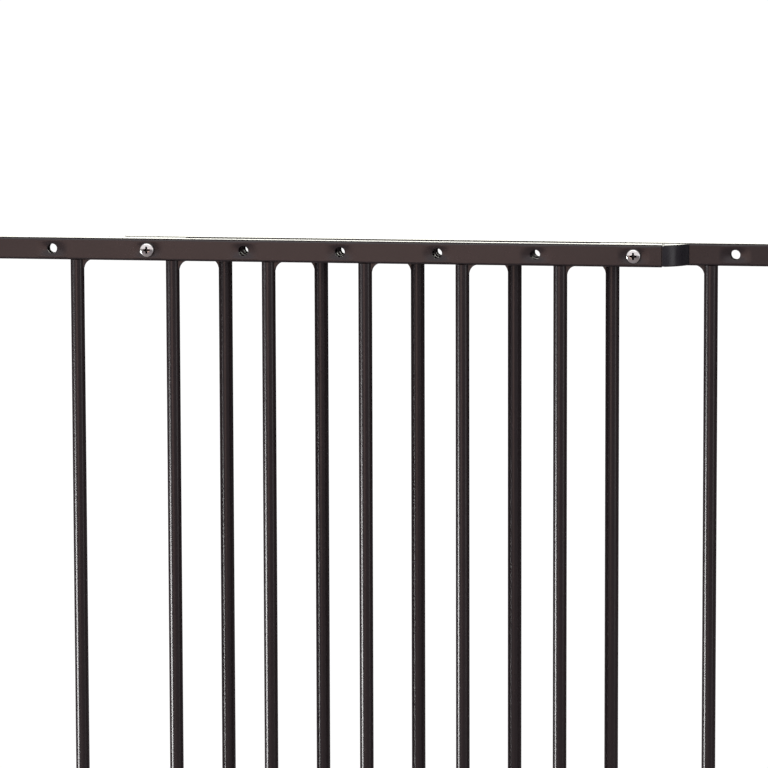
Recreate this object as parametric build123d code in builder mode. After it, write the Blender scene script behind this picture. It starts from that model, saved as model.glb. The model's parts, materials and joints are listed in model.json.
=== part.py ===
from build123d import *
import os

# Extending steel pet gate, in millimetres.
# Two barred panels of the same pattern lap each other. The rear one is the front one
# turned half round about the vertical, and screws through the rails set the width.
# The front panel turns on pins in the hinge brackets on one wall. The rear panel
# carries a sliding latch that reaches into a keeper on the other wall.
#
# +X runs along the closed gate from the hinge wall to the latch wall, +Y from its front
# to its back, +Z up. The origin is on the hinge wall, midway between the two wall screw
# holes of the lower hinge bracket.

# Panels
panel_height = 725.0
bar_pitch = 64.0
bar_gaps = 8
outer_stub = 32.0
inner_stub = 18.0
lap_gaps = 3.5

# Rails: rectangular tube
rail_height = 14.5
rail_depth = 9.0
rail_wall = 1.2
rail_corner = 1.5
rail_inside_corner = 0.5
panel_gap = 7.0

# Bars: round tube welded between the rails, with a small web in one corner of each joint
bar_dia = 9.0
bar_wall = 0.8
web_reach = 5.2
web_drop = 5.5
web_sag = 0.9
web_thickness = 4.0
weld_gap = 0.02

# Screws, nuts and their holes
hole_dia = 6.2
screw_dia = 5.0
screw_head_dia = 9.5
screw_head_height = 3.0
screw_head_round = 1.4
recess_span = 5.0
recess_width = 1.3
recess_depth = 1.7
screw_tip = 1.5
nut_across_flats = 8.0
nut_height = 4.7
nut_flange_dia = 11.5
nut_flange_height = 1.2
thread_gap = 0.05
fixing_screw_length = 7.2

# Moulded guides in the inner ends of the rails
plug_gap = 0.1
guide_plug_length = 40.0
guide_tongue_length = 41.0
guide_nose_length = 16.5
guide_nose_mid = (8.5, 4.7)
guide_recess = 0.3
guide_slip = 0.2
guide_hole_dia = 5.4
guide_edge_round = 1.0

# Hinges
hinge_setback = 24.0
pin_dia = 8.0
pin_running_gap = 0.05
pin_stand = 3.0
pin_chamfer = 0.8
bush_wall = 1.5
bush_flange_dia = 15.0
bush_flange_height = 1.0
press_gap = 0.02
eye_dia = 19.0
eye_neck = 4.5
eye_plug_length = 30.0
pin_cap_dia = 14.0
pin_cap_top = 2.2
pin_cap_gap = 0.3
pin_cap_round = 1.2
bracket_thickness = 4.5
bracket_width = 26.0
bracket_height = 60.0
bracket_corner = 6.0
arm_thickness = 8.0
arm_width = 20.0
rib_thickness = 4.0
rib_drop = 12.0
rib_reach = 19.0

# Wall screw holes, the same in all four wall pieces
wall_hole_dia = 4.5
wall_hole_sink_dia = 8.5
wall_hole_spacing = 44.0

# Latch at the outer end of the rear panel
latch_bar_gap = 3.5
latch_overhang = 10.0
latch_depth = 22.0
latch_below = 3.0
latch_above = 17.0
latch_round = 2.5
latch_fit = 0.1
bolt_dia = 8.0
bolt_running_gap = 0.05
bolt_lift = 8.5
bolt_setback = 1.0
bolt_travel = 12.0
bolt_length = 28.0
bolt_end_gap = 1.0
bolt_chamfer = 1.0
stem_length = 6.0
stem_width = 5.0
stem_gap = 0.3
stem_sink = 3.0
stem_setback = 6.0
thumb_length = 20.0
thumb_width = 16.0
thumb_height = 4.0
thumb_round = 1.5
ridge_count = 3
ridge_pitch = 4.5
ridge_width = 1.8
ridge_height = 1.2
case_screw_dia = 4.0
case_screw_hole_dia = 4.3
case_screw_head_dia = 7.5
case_screw_head_height = 2.4
case_screw_bite = 7.0
case_screw_inset = 5.0

# Tongue at the bottom of the latch end
tongue_neck = 4.0
tongue_length = 15.0
tongue_height = 8.0
tongue_plug_length = 28.0
tongue_chamfer = 1.5

# Keepers on the latch wall
latch_gap = 3.0
keeper_reach = 13.0
keeper_plate = 4.5
keeper_width = 32.0
keeper_height = 60.0
keeper_corner = 6.0
socket_block = 20.0
socket_gap = 0.7
socket_floor = 2.0
lip_gap = 0.3
lip_thickness = 4.0
lip_height = 28.0
lip_reach = 12.0
channel_gap = 0.6
channel_flange = 3.5
channel_lead = 3.0
channel_front = 4.0

# Places worked out from the sizes above
panel_offset = rail_depth + panel_gap
bar_count = bar_gaps + 1
# The rear bars stand midway between the front ones, so holes a quarter pitch to one side
# of every bar meet when the two panels are laid back to back.
hole_setback = bar_pitch / 4
end_hole = outer_stub + (bar_gaps + 1) * bar_pitch - hole_setback
rail_length = end_hole + inner_stub
bar_places = [outer_stub + i * bar_pitch for i in range(bar_count)]
hole_places = [place - hole_setback for place in bar_places] + [end_hole]
fixing_hole = hole_places[0]

rail_start_x = hinge_setback + eye_dia / 2 + eye_neck
lap_centre_x = rail_start_x + bar_places[-1] - lap_gaps * bar_pitch / 2
rail_end_x = 2 * lap_centre_x - rail_start_x
rail_bottom = arm_thickness / 2 + bush_flange_height
upper_lift = panel_height - rail_height
levels = {"lower": 0.0, "upper": upper_lift}
bar_bottom = rail_bottom + rail_height
bar_length = panel_height - 2 * rail_height

latch_start_x = rail_end_x - outer_stub + bar_dia / 2 + latch_bar_gap
latch_end_x = rail_end_x + latch_overhang
latch_wall_x = latch_end_x + latch_gap + keeper_reach
latch_bottom = upper_lift + rail_bottom - latch_below
latch_top = upper_lift + rail_bottom + rail_height + latch_above
bolt_z = upper_lift + rail_bottom + rail_height + bolt_lift
bolt_tip_x = latch_end_x - bolt_setback
bolt_back_x = bolt_tip_x - bolt_length
stem_x = bolt_back_x + stem_setback
tongue_z = rail_bottom + rail_height / 2
latch_back_y = panel_offset + latch_depth / 2

# Each panel is drawn in its own frame: x from its outer end inwards, y towards the gap
# between the panels, z up.
panel_frames = {
    "front": Plane(origin=(rail_start_x, 0, 0), x_dir=(1, 0, 0), z_dir=(0, 0, 1)),
    "rear": Plane(origin=(rail_end_x, panel_offset, 0), x_dir=(-1, 0, 0), z_dir=(0, 0, 1)),
}


def across_rail(frame, along, lift):
    """Plane across a rail, facing the panel's inner end, with its x towards the gap."""
    origin = frame.from_local_coords(Vector(along, 0, lift))
    return Plane(origin=origin, x_dir=frame.y_dir, z_dir=frame.x_dir)


def facing_out(frame, depth, lift):
    """Upright plane facing away from the gap, with its x towards the panel's inner end."""
    origin = frame.from_local_coords(Vector(0, depth, lift))
    return Plane(origin=origin, x_dir=frame.x_dir, z_dir=-frame.y_dir)


def finish(piece, name):
    """Label a finished piece and write its file."""
    piece.label = name
    export_step(piece, f"parts/{name}.step")


os.makedirs("parts", exist_ok=True)
rail_centres = {level: lift + rail_bottom + rail_height / 2 for level, lift in levels.items()}

for side, frame in panel_frames.items():
    # Rails, pierced right through by the row of adjusting holes
    for level, centre in rail_centres.items():
        with BuildPart() as rail:
            with BuildSketch(across_rail(frame, 0, centre)):
                RectangleRounded(rail_depth, rail_height, rail_corner)
                RectangleRounded(
                    rail_depth - 2 * rail_wall,
                    rail_height - 2 * rail_wall,
                    rail_inside_corner,
                    mode=Mode.SUBTRACT,
                )
            extrude(amount=rail_length)
            with BuildSketch(facing_out(frame, 0, centre)):
                with Locations(*[(place, 0) for place in hole_places]):
                    Circle(hole_dia / 2)
            extrude(amount=rail_depth, both=True, mode=Mode.SUBTRACT)
        finish(rail.part, f"{side}_{level}_rail")

    # Bars, counted from the panel's outer end
    for number, place in enumerate(bar_places, start=1):
        with BuildPart() as bar:
            with BuildSketch(frame.offset(bar_bottom)):
                with Locations((place, 0)):
                    Circle(bar_dia / 2)
                    Circle(bar_dia / 2 - bar_wall, mode=Mode.SUBTRACT)
            extrude(amount=bar_length)
        finish(bar.part, f"{side}_bar_{number}")

    # Corner webs, on the side of each bar that faces the panel's inner end
    with BuildPart() as webs:
        for rail_face, down in ((bar_bottom, -1), (bar_bottom + bar_length, 1)):
            for place in bar_places:
                edge = place + bar_dia / 2
                with BuildSketch(facing_out(frame, 0, rail_face)):
                    with BuildLine():
                        Polyline((edge, -down * web_drop), (place, -down * web_drop), (place, 0),
                                 (edge + web_reach, 0))
                        ThreePointArc(
                            (edge + web_reach, 0),
                            (edge + web_reach / 2 - web_sag, -down * (web_drop / 2 - web_sag)),
                            (edge, -down * web_drop),
                        )
                    make_face()
                extrude(amount=web_thickness / 2, both=True)
        with BuildSketch(frame.offset(bar_bottom)):
            with Locations(*[(place, 0) for place in bar_places]):
                Circle(bar_dia / 2 + weld_gap)
        extrude(amount=bar_length, mode=Mode.SUBTRACT)
    finish(webs.part, f"{side}_corner_webs")

    # Guides: a plug in the rail, a rounded nose past its end, and a tongue in the gap
    tongue_back = rail_depth / 2 + panel_gap - guide_slip
    nose_front = -rail_depth / 2 + guide_recess
    for level, lift in levels.items():
        with BuildPart() as guide:
            with BuildSketch(frame.offset(lift + rail_bottom + guide_recess)):
                with BuildLine():
                    ThreePointArc(
                        (rail_length, nose_front),
                        (rail_length + guide_nose_mid[0], nose_front + guide_nose_mid[1]),
                        (rail_length + guide_nose_length, tongue_back),
                    )
                    Polyline(
                        (rail_length + guide_nose_length, tongue_back),
                        (rail_length - guide_tongue_length, tongue_back),
                        (rail_length - guide_tongue_length, rail_depth / 2),
                        (rail_length, rail_depth / 2),
                        (rail_length, nose_front),
                    )
                make_face()
            extrude(amount=rail_height - 2 * guide_recess)
            along_panel = Axis(frame.origin, frame.x_dir)
            tongue_end = guide.faces().filter_by(Axis.X).sort_by(along_panel)[0]
            fillet(tongue_end.edges().filter_by(Axis.Z), radius=guide_edge_round)
            with BuildSketch(across_rail(frame, rail_length, rail_centres[level])):
                RectangleRounded(
                    rail_depth - 2 * rail_wall - 2 * plug_gap,
                    rail_height - 2 * rail_wall - 2 * plug_gap,
                    rail_inside_corner,
                )
            extrude(amount=-guide_plug_length)
            with BuildSketch(facing_out(frame, 0, rail_centres[level])):
                with Locations((end_hole, 0)):
                    Circle(guide_hole_dia / 2)
            extrude(amount=2 * panel_offset, both=True, mode=Mode.SUBTRACT)
        finish(guide.part, f"{side}_{level}_guide")


def pan_head_screws(places, face, head_dia, head_height, head_round, shank_dia, shank_length):
    """Cross-recess pan-head screws standing on a face, with their shanks going into it."""
    with BuildPart() as screws:
        with BuildSketch(face):
            with Locations(*places):
                Circle(head_dia / 2)
        extrude(amount=head_height)
        rims = screws.edges().filter_by(GeomType.CIRCLE).sort_by(Axis(face.origin, face.z_dir))
        fillet(rims[-len(places):], radius=head_round)
        with BuildSketch(face):
            with Locations(*places):
                Circle(shank_dia / 2)
        extrude(amount=-shank_length)
        with BuildSketch(face.offset(head_height)):
            with Locations(*places):
                Rectangle(recess_span * head_dia / screw_head_dia, recess_width)
                Rectangle(recess_width, recess_span * head_dia / screw_head_dia)
        extrude(amount=-recess_depth, mode=Mode.SUBTRACT)
    return screws.part


# Clamping screws and nuts: both pairs of screws go in from the front. Each pair passes
# through the end hole of its own panel and a hole of the other panel's row.
front_face = Plane(origin=(0, -rail_depth / 2, 0), x_dir=(1, 0, 0), z_dir=(0, -1, 0))
back_face = Plane(origin=(0, panel_offset + rail_depth / 2, 0), x_dir=(-1, 0, 0), z_dir=(0, 1, 0))
clamp_length = 2 * rail_depth + panel_gap + nut_height + screw_tip
for side, frame in panel_frames.items():
    clamp_x = frame.from_local_coords(Vector(end_hole, 0, 0)).X
    screw_places = [(clamp_x, centre) for centre in rail_centres.values()]
    clamp_screws = pan_head_screws(screw_places, front_face, screw_head_dia,
                                   screw_head_height, screw_head_round, screw_dia, clamp_length)
    finish(clamp_screws, f"{side}_clamp_screws")
    nut_places = [(-clamp_x, centre) for centre in rail_centres.values()]
    with BuildPart() as nuts:
        with BuildSketch(back_face):
            with Locations(*nut_places):
                Circle(nut_flange_dia / 2)
        extrude(amount=nut_flange_height)
        with BuildSketch(back_face):
            with Locations(*nut_places):
                RegularPolygon(nut_across_flats / 2, 6, major_radius=False)
        extrude(amount=nut_height)
        with BuildSketch(back_face):
            with Locations(*nut_places):
                Circle(screw_dia / 2 + thread_gap)
        extrude(amount=nut_height, mode=Mode.SUBTRACT)
    finish(nuts.part, f"{side}_clamp_nuts")

# Hinge eyes: each is plugged into the outer end of a front rail and held by one screw
front_frame = panel_frames["front"]
rear_frame = panel_frames["rear"]
pin_radius = pin_dia / 2
bush_outer = pin_radius + pin_running_gap + bush_wall
for level, lift in levels.items():
    with BuildPart() as eye:
        with BuildSketch(Plane.XY.offset(lift + rail_bottom)):
            with Locations((hinge_setback, 0)):
                Circle(eye_dia / 2)
            with Locations((hinge_setback, 0)):
                Rectangle(rail_start_x - hinge_setback, rail_depth,
                          align=(Align.MIN, Align.CENTER))
            with Locations((hinge_setback, 0)):
                Circle(bush_outer + press_gap, mode=Mode.SUBTRACT)
        extrude(amount=rail_height)
        with BuildSketch(across_rail(front_frame, 0, rail_centres[level])):
            RectangleRounded(
                rail_depth - 2 * rail_wall - 2 * plug_gap,
                rail_height - 2 * rail_wall - 2 * plug_gap,
                rail_inside_corner,
            )
        extrude(amount=eye_plug_length)
        with BuildSketch(facing_out(front_frame, 0, rail_centres[level])):
            with Locations((fixing_hole, 0)):
                Circle(screw_dia / 2 + thread_gap)
        extrude(amount=rail_depth, both=True, mode=Mode.SUBTRACT)
    finish(eye.part, f"{level}_hinge_eye")

    with BuildPart() as bush:
        with BuildSketch(Plane.XY.offset(lift + rail_bottom - bush_flange_height)):
            with Locations((hinge_setback, 0)):
                Circle(bush_flange_dia / 2)
        extrude(amount=bush_flange_height)
        with BuildSketch(Plane.XY.offset(lift + rail_bottom)):
            with Locations((hinge_setback, 0)):
                Circle(bush_outer)
        extrude(amount=rail_height)
        with BuildSketch(Plane.XY.offset(lift + rail_bottom - bush_flange_height)):
            with Locations((hinge_setback, 0)):
                Circle(pin_radius + pin_running_gap)
        extrude(amount=rail_height + bush_flange_height, mode=Mode.SUBTRACT)
    finish(bush.part, f"{level}_hinge_bush")

    # Wall bracket, with an arm that carries the pin and a rib under the arm
    with BuildPart() as bracket:
        with BuildSketch(Plane.YZ):
            with Locations((0, lift)):
                RectangleRounded(bracket_width, bracket_height, bracket_corner)
        extrude(amount=bracket_thickness)
        with BuildSketch(Plane.XY.offset(lift - arm_thickness / 2)):
            with Locations((0, 0)):
                Rectangle(hinge_setback, arm_width, align=(Align.MIN, Align.CENTER))
            with Locations((hinge_setback, 0)):
                Circle(arm_width / 2)
        extrude(amount=arm_thickness)
        with BuildSketch(Plane.XZ):
            with Locations((0, lift - arm_thickness / 2)):
                Polygon((0, 0), (rib_reach, 0), (bracket_thickness, -rib_drop), (0, -rib_drop),
                        align=None)
        extrude(amount=rib_thickness / 2, both=True)
        with BuildSketch(Plane.XY.offset(lift - arm_thickness / 2)):
            with Locations((hinge_setback, 0)):
                Circle(pin_radius + press_gap)
        extrude(amount=arm_thickness, mode=Mode.SUBTRACT)
        for up in (-1, 1):
            hole_centre = (bracket_thickness, 0, lift + up * wall_hole_spacing / 2)
            with Locations(Plane(origin=hole_centre, x_dir=(0, 1, 0), z_dir=(1, 0, 0))):
                CounterSinkHole(wall_hole_dia / 2, wall_hole_sink_dia / 2,
                                depth=bracket_thickness)
    finish(bracket.part, f"{level}_hinge_bracket")

    pin_top = lift + rail_bottom + rail_height + pin_stand
    with BuildPart() as pin:
        with BuildSketch(Plane.XY.offset(lift - arm_thickness / 2)):
            with Locations((hinge_setback, 0)):
                Circle(pin_radius)
        extrude(amount=pin_top - lift + arm_thickness / 2)
        chamfer(pin.edges().sort_by(Axis.Z)[-1], length=pin_chamfer)
    finish(pin.part, f"{level}_hinge_pin")

# Push-on caps that keep the eyes from lifting off the pins
with BuildPart() as pin_caps:
    for lift in levels.values():
        eye_top = lift + rail_bottom + rail_height
        with BuildSketch(Plane.XY.offset(eye_top + pin_cap_gap)):
            with Locations((hinge_setback, 0)):
                Circle(pin_cap_dia / 2)
        extrude(amount=pin_stand + pin_cap_top - pin_cap_gap)
        with BuildSketch(Plane.XY.offset(eye_top + pin_cap_gap)):
            with Locations((hinge_setback, 0)):
                Circle(pin_radius + press_gap)
        extrude(amount=pin_stand - pin_cap_gap, mode=Mode.SUBTRACT)
        crown = pin_caps.edges().filter_by(GeomType.CIRCLE).sort_by(Axis.Z)[-1]
        fillet(crown, radius=pin_cap_round)
finish(pin_caps.part, "hinge_pin_caps")

# Short screws that hold the hinge eyes and the bottom tongue in the rails
fixing_x = front_frame.from_local_coords(Vector(fixing_hole, 0, 0)).X
eye_screws = pan_head_screws([(fixing_x, centre) for centre in rail_centres.values()],
                             front_face, screw_head_dia, screw_head_height, screw_head_round,
                             screw_dia, fixing_screw_length)
finish(eye_screws, "hinge_eye_screws")

# Latch case: two shells clamped round the end of the rear panel's top rail
latch_length = latch_end_x - latch_start_x
latch_height = latch_top - latch_bottom
latch_centre = (latch_start_x + latch_length / 2, panel_offset, latch_bottom + latch_height / 2)
top_rail_centre = rail_centres["upper"]
case_screw_xs = [rear_frame.from_local_coords(Vector(fixing_hole, 0, 0)).X,
                 latch_end_x - case_screw_inset]
case_front = Plane(origin=(0, panel_offset - latch_depth / 2, 0), x_dir=(1, 0, 0),
                   z_dir=(0, -1, 0))
case_joint = Plane(origin=(0, panel_offset, 0), x_dir=(1, 0, 0), z_dir=(0, -1, 0))
for shell_name, inwards in (("latch_case_front", 1), ("latch_case_back", -1)):
    with BuildPart() as shell:
        with BuildSketch(Plane.XY.offset(latch_bottom)):
            with Locations((latch_centre[0], latch_centre[1])):
                RectangleRounded(latch_length, latch_depth, latch_round)
        extrude(amount=latch_height)
        fillet(shell.edges().group_by(Axis.Z)[-1], radius=latch_round / 2)
        with BuildSketch(case_joint):
            with Locations((latch_centre[0], latch_centre[2])):
                Rectangle(latch_length, latch_height)
        extrude(amount=-inwards * latch_depth / 2, mode=Mode.SUBTRACT)
        with BuildSketch(Plane.YZ.offset(latch_start_x)):
            with Locations((panel_offset, top_rail_centre)):
                Rectangle(rail_depth + 2 * latch_fit, rail_height + 2 * latch_fit)
        extrude(amount=rail_end_x + latch_fit - latch_start_x, mode=Mode.SUBTRACT)
        with BuildSketch(Plane.YZ.offset(bolt_back_x - bolt_end_gap)):
            with Locations((panel_offset, bolt_z)):
                Circle(bolt_dia / 2 + bolt_running_gap)
        extrude(amount=latch_length, mode=Mode.SUBTRACT)
        with BuildSketch(Plane.XY.offset(bolt_z)):
            with Locations((stem_x + bolt_travel / 2, panel_offset)):
                Rectangle(stem_length + bolt_travel + 2 * stem_gap, stem_width + 2 * stem_gap)
        extrude(amount=latch_top - bolt_z, mode=Mode.SUBTRACT)
        if inwards == 1:
            hole_radius, hole_depth = case_screw_hole_dia / 2, latch_depth / 2
        else:
            hole_radius, hole_depth = case_screw_dia / 2 + thread_gap, latch_depth / 2 + case_screw_bite
        with BuildSketch(case_front):
            with Locations(*[(x, top_rail_centre) for x in case_screw_xs]):
                Circle(hole_radius)
        extrude(amount=-hole_depth, mode=Mode.SUBTRACT)
    finish(shell.part, shell_name)

case_screws = pan_head_screws([(x, top_rail_centre) for x in case_screw_xs], case_front,
                              case_screw_head_dia, case_screw_head_height, screw_head_round,
                              case_screw_dia, latch_depth / 2 + case_screw_bite)
finish(case_screws, "latch_case_screws")

with BuildPart() as bolt:
    with BuildSketch(Plane.YZ.offset(bolt_back_x)):
        with Locations((panel_offset, bolt_z)):
            Circle(bolt_dia / 2)
    extrude(amount=bolt_length)
    chamfer(bolt.edges().group_by(Axis.X)[-1], length=bolt_chamfer)
    with BuildSketch(Plane.XY.offset(bolt_z + bolt_dia / 2 - stem_sink)):
        with Locations((stem_x, panel_offset)):
            Rectangle(stem_length + 2 * thread_gap, stem_width + 2 * thread_gap)
    extrude(amount=bolt_dia, mode=Mode.SUBTRACT)
finish(bolt.part, "latch_bolt")

with BuildPart() as thumb:
    with BuildSketch(Plane.XY.offset(latch_top)):
        with Locations((stem_x, panel_offset)):
            RectangleRounded(thumb_length, thumb_width, thumb_round)
    extrude(amount=thumb_height)
    with BuildSketch(Plane.XY.offset(latch_top + thumb_height)):
        with Locations((stem_x, panel_offset)):
            with GridLocations(ridge_pitch, 0, ridge_count, 1):
                Rectangle(ridge_width, thumb_width - 2 * thumb_round)
    extrude(amount=ridge_height)
    with BuildSketch(Plane.XY.offset(bolt_z + bolt_dia / 2 - stem_sink)):
        with Locations((stem_x, panel_offset)):
            Rectangle(stem_length, stem_width)
    extrude(amount=latch_top - bolt_z - bolt_dia / 2 + stem_sink)
finish(thumb.part, "latch_thumb_slider")

# Tongue plugged into the outer end of the rear panel's bottom rail
with BuildPart() as tongue:
    with BuildSketch(across_rail(rear_frame, 0, tongue_z)):
        RectangleRounded(
            rail_depth - 2 * rail_wall - 2 * plug_gap,
            rail_height - 2 * rail_wall - 2 * plug_gap,
            rail_inside_corner,
        )
    extrude(amount=tongue_plug_length)
    with BuildSketch(across_rail(rear_frame, 0, tongue_z)):
        RectangleRounded(rail_depth, rail_height, rail_corner)
    extrude(amount=-tongue_neck)
    with BuildSketch(across_rail(rear_frame, -tongue_neck, tongue_z)):
        Rectangle(rail_depth, tongue_height)
    extrude(amount=-tongue_length)
    tip = tongue.faces().sort_by(Axis.X)[-1]
    chamfer(tip.edges().filter_by(Axis.Y), length=tongue_chamfer)
    with BuildSketch(facing_out(rear_frame, 0, tongue_z)):
        with Locations((fixing_hole, 0)):
            Circle(screw_dia / 2 + thread_gap)
    extrude(amount=rail_depth, both=True, mode=Mode.SUBTRACT)
finish(tongue.part, "lower_latch_tongue")

tongue_screw_face = Plane(origin=(0, panel_offset - rail_depth / 2, 0), x_dir=(1, 0, 0),
                          z_dir=(0, -1, 0))
tongue_screw = pan_head_screws([(case_screw_xs[0], tongue_z)], tongue_screw_face,
                               screw_head_dia, screw_head_height, screw_head_round,
                               screw_dia, fixing_screw_length)
finish(tongue_screw, "latch_tongue_screw")

# Keepers: the back of each plate lies on the latch wall
lip_front = latch_back_y + lip_gap
keeper_centre_y = lip_front + lip_thickness - keeper_width / 2 + lip_gap
keeper_front_x = latch_wall_x - keeper_reach
plate_front_x = latch_wall_x - keeper_plate
channel_start_x = rail_end_x + tongue_neck + channel_lead
channel_back_y = panel_offset + rail_depth / 2 + lip_gap
channel_half = tongue_height / 2 + channel_gap + channel_flange
for keeper_name, lift in (("upper_keeper", bolt_z), ("lower_keeper", tongue_z)):
    with BuildPart() as keeper:
        # Plate with its two countersunk wall screw holes
        with BuildSketch(Plane.YZ.offset(latch_wall_x)):
            with Locations((keeper_centre_y, lift)):
                RectangleRounded(keeper_width, keeper_height, keeper_corner)
        extrude(amount=-keeper_plate)
        for up in (-1, 1):
            hole_centre = (plate_front_x, keeper_centre_y, lift + up * wall_hole_spacing / 2)
            with Locations(Plane(origin=hole_centre, x_dir=(0, 1, 0), z_dir=(-1, 0, 0))):
                CounterSinkHole(wall_hole_dia / 2, wall_hole_sink_dia / 2, depth=keeper_plate)
        if keeper_name == "upper_keeper":
            # Square socket for the bolt, and a lip that the back of the latch case meets
            socket_side = bolt_dia + 2 * socket_gap
            with BuildSketch(Plane.YZ.offset(plate_front_x)):
                with Locations((panel_offset, lift)):
                    RectangleRounded(socket_block, socket_block, latch_round)
            extrude(amount=keeper_front_x - plate_front_x)
            with BuildSketch(Plane.YZ.offset(plate_front_x)):
                with Locations((lip_front + lip_thickness / 2, lift)):
                    Rectangle(lip_thickness, lip_height)
            extrude(amount=keeper_front_x - lip_reach - plate_front_x)
            with BuildSketch(Plane.YZ.offset(latch_wall_x - socket_floor)):
                with Locations((panel_offset, lift)):
                    Rectangle(socket_side, socket_side)
            extrude(amount=-keeper_reach, mode=Mode.SUBTRACT)
        else:
            # Channel for the tongue, open at the front so that the tongue can swing out
            with BuildSketch(Plane.YZ.offset(plate_front_x)):
                with Locations((channel_back_y + lip_thickness, lift)):
                    Rectangle(lip_thickness + rail_depth + channel_front, 2 * channel_half,
                              align=(Align.MAX, Align.CENTER))
                with Locations((channel_back_y, lift)):
                    Rectangle(keeper_width, tongue_height + 2 * channel_gap,
                              align=(Align.MAX, Align.CENTER), mode=Mode.SUBTRACT)
            extrude(amount=channel_start_x - plate_front_x)
    finish(keeper.part, keeper_name)
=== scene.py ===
"""Studio scene of an extending steel pet gate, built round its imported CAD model.

Two barred panels lap each other, and screws through their pierced rails clamp them at the width
of the doorway. Each class below makes the finished pieces of one sub-assembly from the boxes of
the CAD nodes that the pieces stand for. Shapes are worked out in millimetres of the model frame:
+X runs from the hinge wall to the latch wall, +Y from the front of the gate to its back, +Z up.
"""

import json
import logging
import math
from abc import ABC, abstractmethod
from collections.abc import Callable, Iterable, Sequence
from dataclasses import dataclass
from enum import Enum

import bmesh
import bpy
from mathutils import Matrix, Vector

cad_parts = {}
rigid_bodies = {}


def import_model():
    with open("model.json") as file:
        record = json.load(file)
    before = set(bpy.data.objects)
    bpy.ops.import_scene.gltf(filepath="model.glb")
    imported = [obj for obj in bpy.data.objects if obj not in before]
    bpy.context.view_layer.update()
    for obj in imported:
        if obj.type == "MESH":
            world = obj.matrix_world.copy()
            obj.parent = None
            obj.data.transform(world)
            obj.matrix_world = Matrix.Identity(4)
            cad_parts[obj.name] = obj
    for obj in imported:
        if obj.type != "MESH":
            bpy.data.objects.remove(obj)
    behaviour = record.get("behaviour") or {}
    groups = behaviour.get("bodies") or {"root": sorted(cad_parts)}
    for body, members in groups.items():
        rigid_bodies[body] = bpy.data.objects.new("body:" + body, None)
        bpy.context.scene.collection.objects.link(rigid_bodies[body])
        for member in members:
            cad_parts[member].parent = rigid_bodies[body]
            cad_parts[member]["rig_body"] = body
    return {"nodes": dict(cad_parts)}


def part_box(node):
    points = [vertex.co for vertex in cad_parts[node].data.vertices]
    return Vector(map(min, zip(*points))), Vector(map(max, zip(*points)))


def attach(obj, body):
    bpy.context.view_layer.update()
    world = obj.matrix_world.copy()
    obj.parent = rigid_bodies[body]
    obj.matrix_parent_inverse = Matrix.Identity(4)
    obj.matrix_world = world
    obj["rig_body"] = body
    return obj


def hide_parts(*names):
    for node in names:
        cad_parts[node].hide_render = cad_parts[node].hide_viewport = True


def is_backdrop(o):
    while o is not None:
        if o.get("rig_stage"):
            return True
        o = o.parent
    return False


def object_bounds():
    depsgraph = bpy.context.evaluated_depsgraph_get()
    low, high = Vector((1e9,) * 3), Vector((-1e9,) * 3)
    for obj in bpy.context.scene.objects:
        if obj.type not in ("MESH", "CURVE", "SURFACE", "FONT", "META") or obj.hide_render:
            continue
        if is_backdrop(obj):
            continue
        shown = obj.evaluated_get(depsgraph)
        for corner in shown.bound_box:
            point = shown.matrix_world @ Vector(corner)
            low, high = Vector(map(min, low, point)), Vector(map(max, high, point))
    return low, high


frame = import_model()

log = logging.getLogger("pet_gate")

MM = 0.001
# Mesh attribute that marks where painted shade goes in a screw's driver recess
RECESS_SHADE_LAYER = "recess"
WELD_DISTANCE = 1e-3
SHARP_EDGE = math.radians(32)
FLAT_EDGE = math.radians(0.05)
PAST = 1.0  # how far a cutter, or a part to be joined, reaches past the face that it meets
X, Y, Z = Vector((1, 0, 0)), Vector((0, 1, 0)), Vector((0, 0, 1))

Point = tuple[float, float]
EdgeTest = Callable[[bmesh.types.BMEdge], bool]


class Slot(Enum):
    """Material slots of the record."""

    COATED_STEEL = "powder_coated_steel"
    GUIDE_PLASTIC = "guide_plastic"
    ZINC_STEEL = "zinc_plated_steel"
    BRIGHT_STEEL = "bright_steel"
    BUSH_PLASTIC = "bush_plastic"
    SLIDER_PLASTIC = "slider_plastic"
    MOULDED_PLASTIC = "moulded_plastic"


class Side(Enum):
    """The two panels, each with the direction from its outer end to its inner end."""

    FRONT = ("front", 1)
    REAR = ("rear", -1)

    @property
    def label(self) -> str:
        """First word of the panel's node names."""
        return self.value[0]

    @property
    def inwards(self) -> int:
        """1 where the panel runs along +X from its outer end, -1 where it runs along -X."""
        return self.value[1]


class Level(Enum):
    """The two heights at which rails, guides, hinges and keepers sit."""

    LOWER = "lower"
    UPPER = "upper"


class Cut(Enum):
    """What the boolean step does with a second shape."""

    JOIN = "UNION"
    REMOVE = "DIFFERENCE"
    KEEP_COMMON = "INTERSECT"


# ---------------------------------------------------------------- colours and finishes


def linear(code: str) -> tuple[float, float, float, float]:
    """Turn an sRGB hex colour to the linear values that the shaders take.

    Args:
        code: Six hex digits, such as "2C2523".

    Returns:
        Linear red, green and blue, with an alpha of 1.
    """
    parts = (int(code[i:i + 2], 16) / 255 for i in (0, 2, 4))
    return (*(c / 12.92 if c <= 0.04045 else ((c + 0.055) / 1.055) ** 2.4 for c in parts), 1.0)


def add_node(tree: bpy.types.NodeTree, kind: str, settings: dict | None = None,
             links: dict | None = None) -> bpy.types.Node:
    """Add a shader node.

    Args:
        tree: The node tree that the node joins.
        kind: The node's type name.
        settings: Values by property name, input name or input number.
        links: Output sockets of other nodes, by input name or input number.

    Returns:
        The new node.
    """
    node = tree.nodes.new(kind)
    for name, value in (settings or {}).items():
        if isinstance(name, str) and hasattr(node, name):
            setattr(node, name, value)
        else:
            node.inputs[name].default_value = value
    for name, source in (links or {}).items():
        tree.links.new(source, node.inputs[name])
    return node


def per_metre(size_mm: float) -> float:
    """Texture scale at which one cell of a pattern measures the given millimetres."""
    return 1.0 / (size_mm * MM)


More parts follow.
